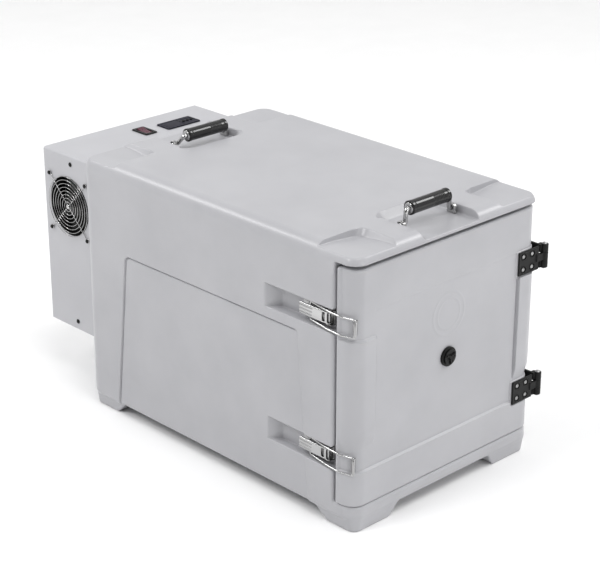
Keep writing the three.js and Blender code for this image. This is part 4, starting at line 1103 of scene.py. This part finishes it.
def control_bezel():
    """A flange with a window at the left and a tray of keys at the right."""

    def field(x, y, z):
        flange = rmax(rounded_rect(x, y, *panel_inset(0.1), 4), slab(z, UNIT_TOP + 0.4, BEZEL_TOP - 0.05), 0.9)
        body = np.maximum(rounded_rect(x, y, *panel_inset(3.5), 1), slab(z, UNIT_TOP - 8, UNIT_TOP + 1))
        window = rmax(rounded_rect(x, y, *WINDOW, 2), BEZEL_TOP - 1.4 - z, 0.2)
        tray = rmax(rounded_rect(x, y, 89, 117, 757, 775, 3), BEZEL_TOP - 0.5 - z, 0.2)
        shape = rmax(rmax(np.minimum(flange, body), -window, 0.4), -tray, 0.3)
        for cx in KEYS["xs"]:
            hole = np.hypot(x - cx, y - KEYS["y"]) - KEYS["hole"]
            shape = rmax(shape, -np.maximum(hole, UNIT_TOP - 5 - z), 0.3)
        return shape

    low, high = (PANEL["x0"], PANEL["y0"], UNIT_TOP - 8), (PANEL["x1"], PANEL["y1"], BEZEL_TOP)
    return small(field, low, high, (0.7, 0.7, 0.45))


def display_window():
    x0, x1, y0, y1 = WINDOW

    def field(x, y, z):
        return block(x, y, z, (x0 + 0.5, x1 - 0.5), (y0 + 0.5, y1 - 0.5), (BEZEL_TOP - 1.0, BEZEL_TOP - 0.2), 0.35)

    return small(field, (x0, y0, BEZEL_TOP - 1.2), (x1, y1, BEZEL_TOP), (0.8, 0.8, 0.2))


def button(cx):
    profile = [(0.2, 4.0), (1.6, 3.75), (2.4, 3.9), (2.85, 3.5), (2.95, 2.6), (2.95, -2.0), (0.2, -2.0)]
    return sharpen(lathe(profile, (cx, KEYS["y"], UNIT_TOP), "z", 36), 50)


def switch_bezel():
    cx, cy = SWITCH["x"], SWITCH["y"]

    def field(x, y, z):
        def outline(half_x, half_y, r):
            return rounded_rect(x - cx, y - cy, -half_x, half_x, -half_y, half_y, r)

        flange = rmax(outline(13.9, 21.9, 3), slab(z, UNIT_TOP + 0.4, UNIT_TOP + 2.4), 0.8)
        body = np.maximum(outline(10.1, 18.1, 1), slab(z, UNIT_TOP - 24, UNIT_TOP + 1))
        well = np.maximum(outline(8.2, 15.4, 1.5), UNIT_TOP - 12 - z)
        return rmax(np.minimum(flange, body), -well, 0.5)

    low, high = (cx - 14, cy - 22, UNIT_TOP - 24), (cx + 14, cy + 22, UNIT_TOP + 2.4)
    return small(field, low, high, (0.6, 0.6, 0.5))


def rocker():
    """A rocker at rest on its lower side, with a bar and a ring sunk in its face."""
    cx, cy = SWITCH["x"], SWITCH["y"]

    def field(x, y, z):
        b, h = turned(y - cy, z - SWITCH["pivot"], SWITCH["lean"])
        crown = 2.9 + 1.5 * (b / 13.6) ** 2
        underside = -6.6 + np.abs(b) * 0.42
        body = rmax(rmax(h - crown, underside - h, 0.4), np.maximum(np.abs(x - cx) - 7.5, np.abs(b) - 13.5), 0.8)
        bar = np.maximum(np.abs(x - cx) - 0.5, np.abs(b - 7.5) - 2.4)
        ring = np.abs(np.hypot(x - cx, b + 7.5) - 2.3) - 0.45
        return rmax(body, -np.maximum(np.minimum(bar, ring), crown - 0.45 - h), 0.15)

    low, high = (cx - 7.7, cy - 14.6, UNIT_TOP - 8.5), (cx + 7.7, cy + 14.6, UNIT_TOP + 6)
    return small(field, low, high, 0.42)


# The seal's middle line, inset from its outer edge, its corners' radius and half the strip's width.
SEAL = dict(inset=4.5, corner=20, strip=4.3)


def gasket():
    """A soft seal whose two beads stand out from a flat web."""
    low, high = local("door_gasket")
    r = SEAL["corner"]
    back = SEAL["inset"] + r
    left, right, bottom, top = low.x + back, high.x - back, low.z + back, high.z - back
    path = []
    for n, (cx, cz) in enumerate([(right, top), (left, top), (left, bottom), (right, bottom)]):
        for turn in range(9):
            angle = math.radians(90 * n + 90 * turn / 8)
            path.append(Vector((cx + r * math.cos(angle), (low.y + high.y) / 2, cz + r * math.sin(angle))))
    section = []
    for n in range(28):
        turn = math.tau * n / 28
        bead = 0.62 + 0.42 * math.cos(turn * 2) ** 2 * abs(math.cos(turn)) ** 0.5
        section.append((SEAL["strip"] * math.cos(turn), bead * math.sin(turn)))
    return sharpen(sweep(path, section, closed=True, up=Vector((0, 1, 0))), 60)


# ---- materials ----------------------------------------------------------
def grid_node(tree, kind, x, y, **inputs):
    node = tree.nodes.new(kind)
    node.location = (x, y)
    for key, value in inputs.items():
        node.inputs[key.replace("_", " ")].default_value = value
    return node


def texture_space(tree, stretch):
    """Coordinates that ride with the piece, stretched for grain that has a direction."""
    place = tree.nodes.new("ShaderNodeTexCoord")
    place.location = (-1200, 0)
    mapping = grid_node(tree, "ShaderNodeMapping", -1000, 0, Scale=stretch)
    tree.links.new(place.outputs["Object"], mapping.inputs["Vector"])
    return mapping.outputs["Vector"]


def noise(tree, vector, scale, detail, y):
    node = grid_node(tree, "ShaderNodeTexNoise", -780, y, Scale=scale, Detail=detail, Roughness=0.55)
    tree.links.new(vector, node.inputs["Vector"])
    return node.outputs["Fac"]


def ramp(tree, value, stops, x, y):
    node = tree.nodes.new("ShaderNodeValToRGB")
    node.location = (x, y)
    elements = node.color_ramp.elements
    while len(elements) < len(stops):
        elements.new(0.5)
    for element, (position, colour) in zip(elements, stops):
        element.position = position
        element.color = (*colour, 1)
    tree.links.new(value, node.inputs["Fac"])
    return node.outputs["Color"]


def span(tree, value, low, high, x, y):
    """Maps a 0 to 1 value onto a range."""
    node = grid_node(tree, "ShaderNodeMapRange", x, y, To_Min=low, To_Max=high)
    tree.links.new(value, node.inputs["Value"])
    return node.outputs["Result"]


def bump(tree, value, distance, strength, x, y, below=None):
    node = grid_node(tree, "ShaderNodeBump", x, y, Distance=distance, Strength=strength)
    tree.links.new(value, node.inputs["Height"])
    if below is not None:
        tree.links.new(below, node.inputs["Normal"])
    return node.outputs["Normal"]


def finish_material(name, colours, roughness, grain, swell, stretch=(1, 1, 1), patch=9.0, **shader):
    """A surface with slow colour patches, a grained roughness and two scales of relief.

    colours: dark and light ends of the patches; roughness: its range;
    grain and swell: (scale, distance in metres, strength) of the fine and the slow relief.
    """
    material = bpy.data.materials.new(name)
    material.use_nodes = True
    tree = material.node_tree
    surface = tree.nodes["Principled BSDF"]
    for key, value in shader.items():
        surface.inputs[key.replace("_", " ")].default_value = value
    vector = texture_space(tree, stretch)
    patches = noise(tree, vector, patch, 4, 300)
    fine = noise(tree, vector, grain[0], 3, 0)
    slow = noise(tree, vector, swell[0], 2, -300)
    colour = ramp(tree, patches, [(0.3, colours[0]), (0.7, colours[1])], -520, 300)
    tree.links.new(colour, surface.inputs["Base Color"])
    tree.links.new(span(tree, fine, *roughness, -520, 60), surface.inputs["Roughness"])
    relief = bump(tree, slow, swell[1], swell[2], -520, -300)
    tree.links.new(bump(tree, fine, grain[1], grain[2], -300, -200, relief), surface.inputs["Normal"])
    return material


def grey(value, blue=0.0):
    return (value, value, value + blue)


MATERIALS = {
    "shell_plastic": finish_material(
        "rotomoulded_plastic", (grey(0.412, 0.020), grey(0.450, 0.020)), (0.25, 0.35),
        (1500, 0.00012, 0.16), (26, 0.0012, 0.10), IOR=1.46,
    ),
    "liner_plastic": finish_material(
        "liner_plastic", (grey(0.60, 0.012), grey(0.66, 0.010)), (0.38, 0.52),
        (1300, 0.00012, 0.18), (24, 0.001, 0.10), IOR=1.46,
    ),
    "painted_steel": finish_material(
        "powder_coat", (grey(0.460, 0.022), grey(0.490, 0.022)), (0.34, 0.46),
        (900, 0.00012, 0.22), (14, 0.0006, 0.06), IOR=1.5,
    ),
    "chrome": finish_material(
        "polished_chrome", (grey(0.42), grey(0.54)), (0.07, 0.18),
        (1800, 0.00003, 0.06), (60, 0.0003, 0.08), Metallic=1.0,
    ),
    "stainless": finish_material(
        "brushed_stainless", (grey(0.36), grey(0.46)), (0.22, 0.36),
        (700, 0.00004, 0.25), (80, 0.0002, 0.08), stretch=(1, 1, 0.05), Metallic=1.0, Anisotropic=0.4,
    ),
    "black_plastic": finish_material(
        "moulded_black", (grey(0.004), grey(0.009)), (0.34, 0.50),
        (2200, 0.0001, 0.30), (90, 0.0003, 0.08), IOR=1.30,
    ),
    "black_gloss": finish_material(
        "gloss_black", (grey(0.006), grey(0.012)), (0.06, 0.16),
        (900, 0.00004, 0.06), (120, 0.0002, 0.05), IOR=1.48,
    ),
    "rubber": finish_material(
        "seal_rubber", (grey(0.018), grey(0.034)), (0.62, 0.80),
        (1600, 0.00015, 0.35), (70, 0.0005, 0.10), IOR=1.48,
    ),
    "copper": finish_material(
        "copper_tube", ((0.48, 0.17, 0.08), (0.66, 0.29, 0.16)), (0.20, 0.42),
        (600, 0.00005, 0.18), (90, 0.0003, 0.10), patch=40.0, Metallic=1.0,
    ),
    "aluminium": finish_material(
        "mill_aluminium", (grey(0.50, 0.01), grey(0.66, 0.01)), (0.28, 0.48),
        (800, 0.00005, 0.22), (60, 0.0003, 0.10), stretch=(1, 1, 0.08), Metallic=1.0,
    ),
    "rocker_red": finish_material(
        "rocker_red", ((0.085, 0.026, 0.042), (0.125, 0.040, 0.060)), (0.22, 0.34),
        (900, 0.00005, 0.12), (120, 0.0002, 0.06), patch=60.0, IOR=1.40,
    ),
    "display_plastic": finish_material(
        "display_plastic", ((0.006, 0.006, 0.014), (0.012, 0.012, 0.024)), (0.30, 0.44),
        (1200, 0.00005, 0.12), (90, 0.0002, 0.05), patch=60.0, IOR=1.22,
    ),
    "insulation": finish_material(
        "foam", ((0.62, 0.52, 0.30), (0.78, 0.70, 0.46)), (0.75, 0.95),
        (500, 0.0006, 0.8), (60, 0.001, 0.4), patch=40.0,
    ),
}


def dress(obj, name, slot, body, *nodes):
    """Names a piece, gives it its finish, hangs it on the body it rides on and hides the CAD nodes it stands in for.
    """
    obj.name = name
    obj.data.name = name
    obj.data.materials.clear()
    obj.data.materials.append(MATERIALS[slot])
    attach(obj, body)
    if nodes:
        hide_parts(*nodes)


# ---- the carrier, piece by piece ----------------------------------------
dress(carcass_mesh(), "moulded_carcass", "shell_plastic", "carcass", "outer_shell")
dress(door_mesh(), "moulded_door", "shell_plastic", "door", "door_shell")
dress(liner_mesh(), "compartment_liner", "liner_plastic", "carcass", "inner_liner")
dress(plug_mesh(), "door_plug", "liner_plastic", "door", "door_liner")
dress(gasket(), "door_seal", "rubber", "door", "door_gasket")


def heads(name, body, places, *fit):
    """One piece made of several screw heads: fit is their axis, the way they face, radius and height."""
    dress(joined([screw(place, *fit) for place in places]), name, "stainless", body)


for name, level in LEVELS.items():
    dress(latch_base(level), f"latch_plate_{name}", "stainless", "carcass", f"latch_base_{name}")
    # The black cup in each latch hollow is painted shade for the deep opening.
    dress(latch_well_shade(level), f"latch_shade_cup_{name}", "black_plastic", "carcass")
    dress(latch_lever(level), f"latch_handle_{name}", "chrome", f"latch_lever_{name}", f"latch_lever_{name}")
    dress(bail(level), f"latch_wire_{name}", "chrome", f"latch_bail_{name}", f"latch_bail_{name}")
    dress(keeper(level), f"latch_catch_{name}", "stainless", "door", f"keeper_{name}")
    dress(hinge_door_leaf(level), f"hinge_front_{name}", "black_plastic", "door", f"hinge_door_leaf_{name}")
    dress(hinge_body_leaf(level), f"hinge_side_{name}", "black_plastic", "carcass", f"hinge_body_leaf_{name}")
    dress(hinge_pin(level), f"hinge_rod_{name}", "stainless", "carcass", f"hinge_pin_{name}")
    by_hinge, by_plate = ([level - a, level + a] for a in (HINGE_SCREW_Z, PLATE_SCREW_Z))
    front = [(x, 0.5, z) for x in DOOR_SCREWS for z in by_hinge]
    heads(f"hinge_front_screws_{name}", "door", front, "y", -1, 3.7, 1.4)
    side = [(223.2, y, z) for y in SIDE_SCREWS for z in by_hinge]
    heads(f"hinge_side_screws_{name}", "carcass", side, "x", 1, 3.7, 1.4)
    plate = [(-202, y, z) for y in PLATE_SCREWS for z in by_plate]
    heads(f"latch_plate_screws_{name}", "carcass", plate, "x", -1, 3.2, 1.0)

dress(vent_housing(), "vent_ring", "black_plastic", "door", "vent_housing")
dress(vent_cap(), "vent_knob", "black_plastic", "vent_cap", "vent_cap")

for name, side in HANDLES.items():
    dress(handle_wire(side), f"handle_bow_{name}", "chrome", side["body"], f"handle_wire_{name}")
    dress(handle_grip(side), f"handle_sleeve_{name}", "black_gloss", side["body"], f"handle_grip_{name}")
    dress(grip_rings(side), f"handle_rings_{name}", "chrome", side["body"])
    for hand, label in ((-1, "left"), (1, "right")):
        saddle = handle_bracket(hand, side)
        dress(saddle, f"handle_saddle_{name}_{label}", "stainless", "carcass", f"handle_bracket_{name}_{label}")

dress(unit_cover(), "cooling_cover", "painted_steel", "carcass", "unit_cover")
dress(unit_back_panel(), "cooling_back_panel", "painted_steel", "carcass", "unit_back_panel")
dress(softened("unit_base_plate", 0.5), "cooling_tray", "painted_steel", "carcass", "unit_base_plate")
dress(power_inlet(), "inlet_socket", "black_plastic", "carcass", "power_inlet")
dress(fan_frame(), "axial_fan_frame", "black_plastic", "carcass", "fan_frame")
dress(fan_rotor(), "axial_fan_rotor", "black_plastic", "condenser_fan", "fan_rotor")
dress(fan_guard(), "chrome_fan_guard", "chrome", "carcass", "fan_guard")
for n, spot in enumerate(FAN_SCREWS, 1):
    head = screw((-UNIT_HALF - 3.4, spot.y, spot.z), "x", -1, 4.0, 2.0)
    dress(head, f"fan_screw_head_{n}", "black_plastic", "carcass", f"fan_screw_{n}")
for n, spot in enumerate(COVER_SCREWS, 1):
    head = screw((-UNIT_HALF - 0.5, spot.y, spot.z), "x", -1, 4.4, 2.0)
    dress(head, f"cover_screw_head_{n}", "black_plastic", "carcass", f"cover_screw_{n}")
dress(control_bezel(), "control_frame", "display_plastic", "carcass", "control_bezel")
dress(display_window(), "display_pane", "display_plastic", "carcass", "display_window")
for n, cx in enumerate(KEYS["xs"], 1):
    dress(button(cx), f"control_key_{n}", "black_plastic", f"key_{n}", f"button_{n}")
dress(switch_bezel(), "switch_frame", "black_plastic", "carcass", "switch_bezel")
dress(rocker(), "switch_paddle", "rocker_red", "power_rocker", "switch_rocker")

for node, name, slot, width in (
    ("compressor", "compressor_can", "black_plastic", 1.0),
    ("condenser_coil", "condenser_fins", "aluminium", 0.25),
    ("evaporator_coil", "evaporator_fins", "aluminium", 0.25),
    ("evaporator_grille", "rear_grille", "stainless", 0.5),
    ("evap_fan_frame", "rear_fan_frame", "black_plastic", 0.6),
    ("controller_box", "controller_case", "black_plastic", 2.0),
):
    dress(softened(node, width), name, slot, "carcass", node)

# CAD pieces whose shape is right get their finish.
for node, slot in (
    ("insulation_foam", "insulation"),
    ("door_foam", "insulation"),
    ("refrigerant_line", "copper"),
    ("evap_fan_rotor", "black_plastic"),
):
    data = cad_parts[node].data
    for n in range(len(data.materials)):
        data.materials[n] = MATERIALS[slot]

# ---- studio -------------------------------------------------------------
# A paper sheet, flat up to where it starts to rise and then a quarter of a circle.
FLOOR_HALF, FLOOR_RISE, FLOOR_CURVE = 9.0, 4.0, 4.0
FLOOR_STEPS, FLAT_SHARE = 24, 0.55
floor_points = []
for row in range(FLOOR_STEPS + 1):
    t = row / FLOOR_STEPS
    turn = max((t - FLAT_SHARE) / (1 - FLAT_SHARE), 0) * math.pi / 2
    y = min(t / FLAT_SHARE, 1) * (FLOOR_HALF + FLOOR_RISE) - FLOOR_HALF + FLOOR_CURVE * math.sin(turn)
    z = FLOOR_CURVE * (1 - math.cos(turn))
    floor_points += [(-FLOOR_HALF, y, z), (FLOOR_HALF, y, z)]
floor_mesh = bpy.data.meshes.new("studio_floor")
floor_mesh.from_pydata(floor_points, [], [(2 * n, 2 * n + 1, 2 * n + 3, 2 * n + 2) for n in range(FLOOR_STEPS)])
floor_mesh.materials.append(finish_material(
    "paper_floor", (grey(0.96), grey(0.98)), (0.7, 0.9), (300, 0.0001, 0.05), (3, 0.0005, 0.02),
))
floor = linked(floor_mesh)

# An even white surround that dims behind the camera, so that glossy pieces have something dark to show.
world = bpy.data.worlds.new("studio")
bpy.context.scene.world = world
world.use_nodes = True
sky_tree = world.node_tree
sky_place = sky_tree.nodes.new("ShaderNodeTexCoord")
facing = sky_tree.nodes.new("ShaderNodeVectorMath")
facing.operation = "DOT_PRODUCT"
facing.inputs[1].default_value = (-0.69, -0.72, 0.1)
sky_tree.links.new(sky_place.outputs["Generated"], facing.inputs[0])
shade = grid_node(sky_tree, "ShaderNodeMapRange", 0, 0, From_Min=0.15, From_Max=0.9, To_Min=0.74, To_Max=0.08)
shade.interpolation_type = "SMOOTHSTEP"
sky_tree.links.new(facing.outputs["Value"], shade.inputs["Value"])
sky_tree.links.new(shade.outputs["Result"], sky_tree.nodes["Background"].inputs["Strength"])
sky_tree.nodes["Background"].inputs["Color"].default_value = (1.0, 1.0, 1.0, 1)

LIT_POINT = Vector((0, 0, 0.25))


def soft_light(name, position, size, power):
    data = bpy.data.lights.new(name, "AREA")
    data.shape = "RECTANGLE"
    data.size, data.size_y = size
    data.energy = power
    lamp = linked(data)
    lamp.location = position
    lamp.rotation_mode = "QUATERNION"
    lamp.rotation_quaternion = (LIT_POINT - Vector(position)).to_track_quat("-Z", "Y")


soft_light("rear_left", (-1.4, 2.4, 2.7), (1.0, 1.0), 30)
soft_light("front_right", (2.1, -1.3, 2.6), (1.0, 1.0), 29)
soft_light("front_left", (-0.3, -3.0, 1.1), (1.6, 1.2), 17)
soft_light("upper_left", (-2.1, 0.1, 2.4), (0.7, 0.7), 22)
sky = bpy.data.lights.new("sky", "SUN")
sky.energy = 0.75
sky.angle = math.radians(26)
linked(sky).rotation_euler = (math.radians(27), math.radians(-10), 0)

# ---- camera -------------------------------------------------------------
AZIMUTH, ELEVATION = math.radians(-43.739), math.radians(22.911)
DISTANCE = 1.56357
LOOK = Vector((-1.021617, -0.717643, 0.884696))
FOCAL_PIXELS = 1816.789
IMAGE_WIDTH = 600
camera_data = bpy.data.cameras.new("camera")
camera_data.sensor_width = 36
camera_data.lens = FOCAL_PIXELS / IMAGE_WIDTH * camera_data.sensor_width
camera = linked(camera_data)
back = Vector((
    math.sin(AZIMUTH) * math.cos(ELEVATION), -math.cos(AZIMUTH) * math.cos(ELEVATION), math.sin(ELEVATION),
))
camera.location = ORIGIN + LOOK + back * DISTANCE
camera.rotation_mode = "QUATERNION"
camera.rotation_quaternion = (-back).to_track_quat("-Z", "Y")
bpy.context.scene.camera = camera
bpy.context.scene.view_settings.view_transform = "Standard"
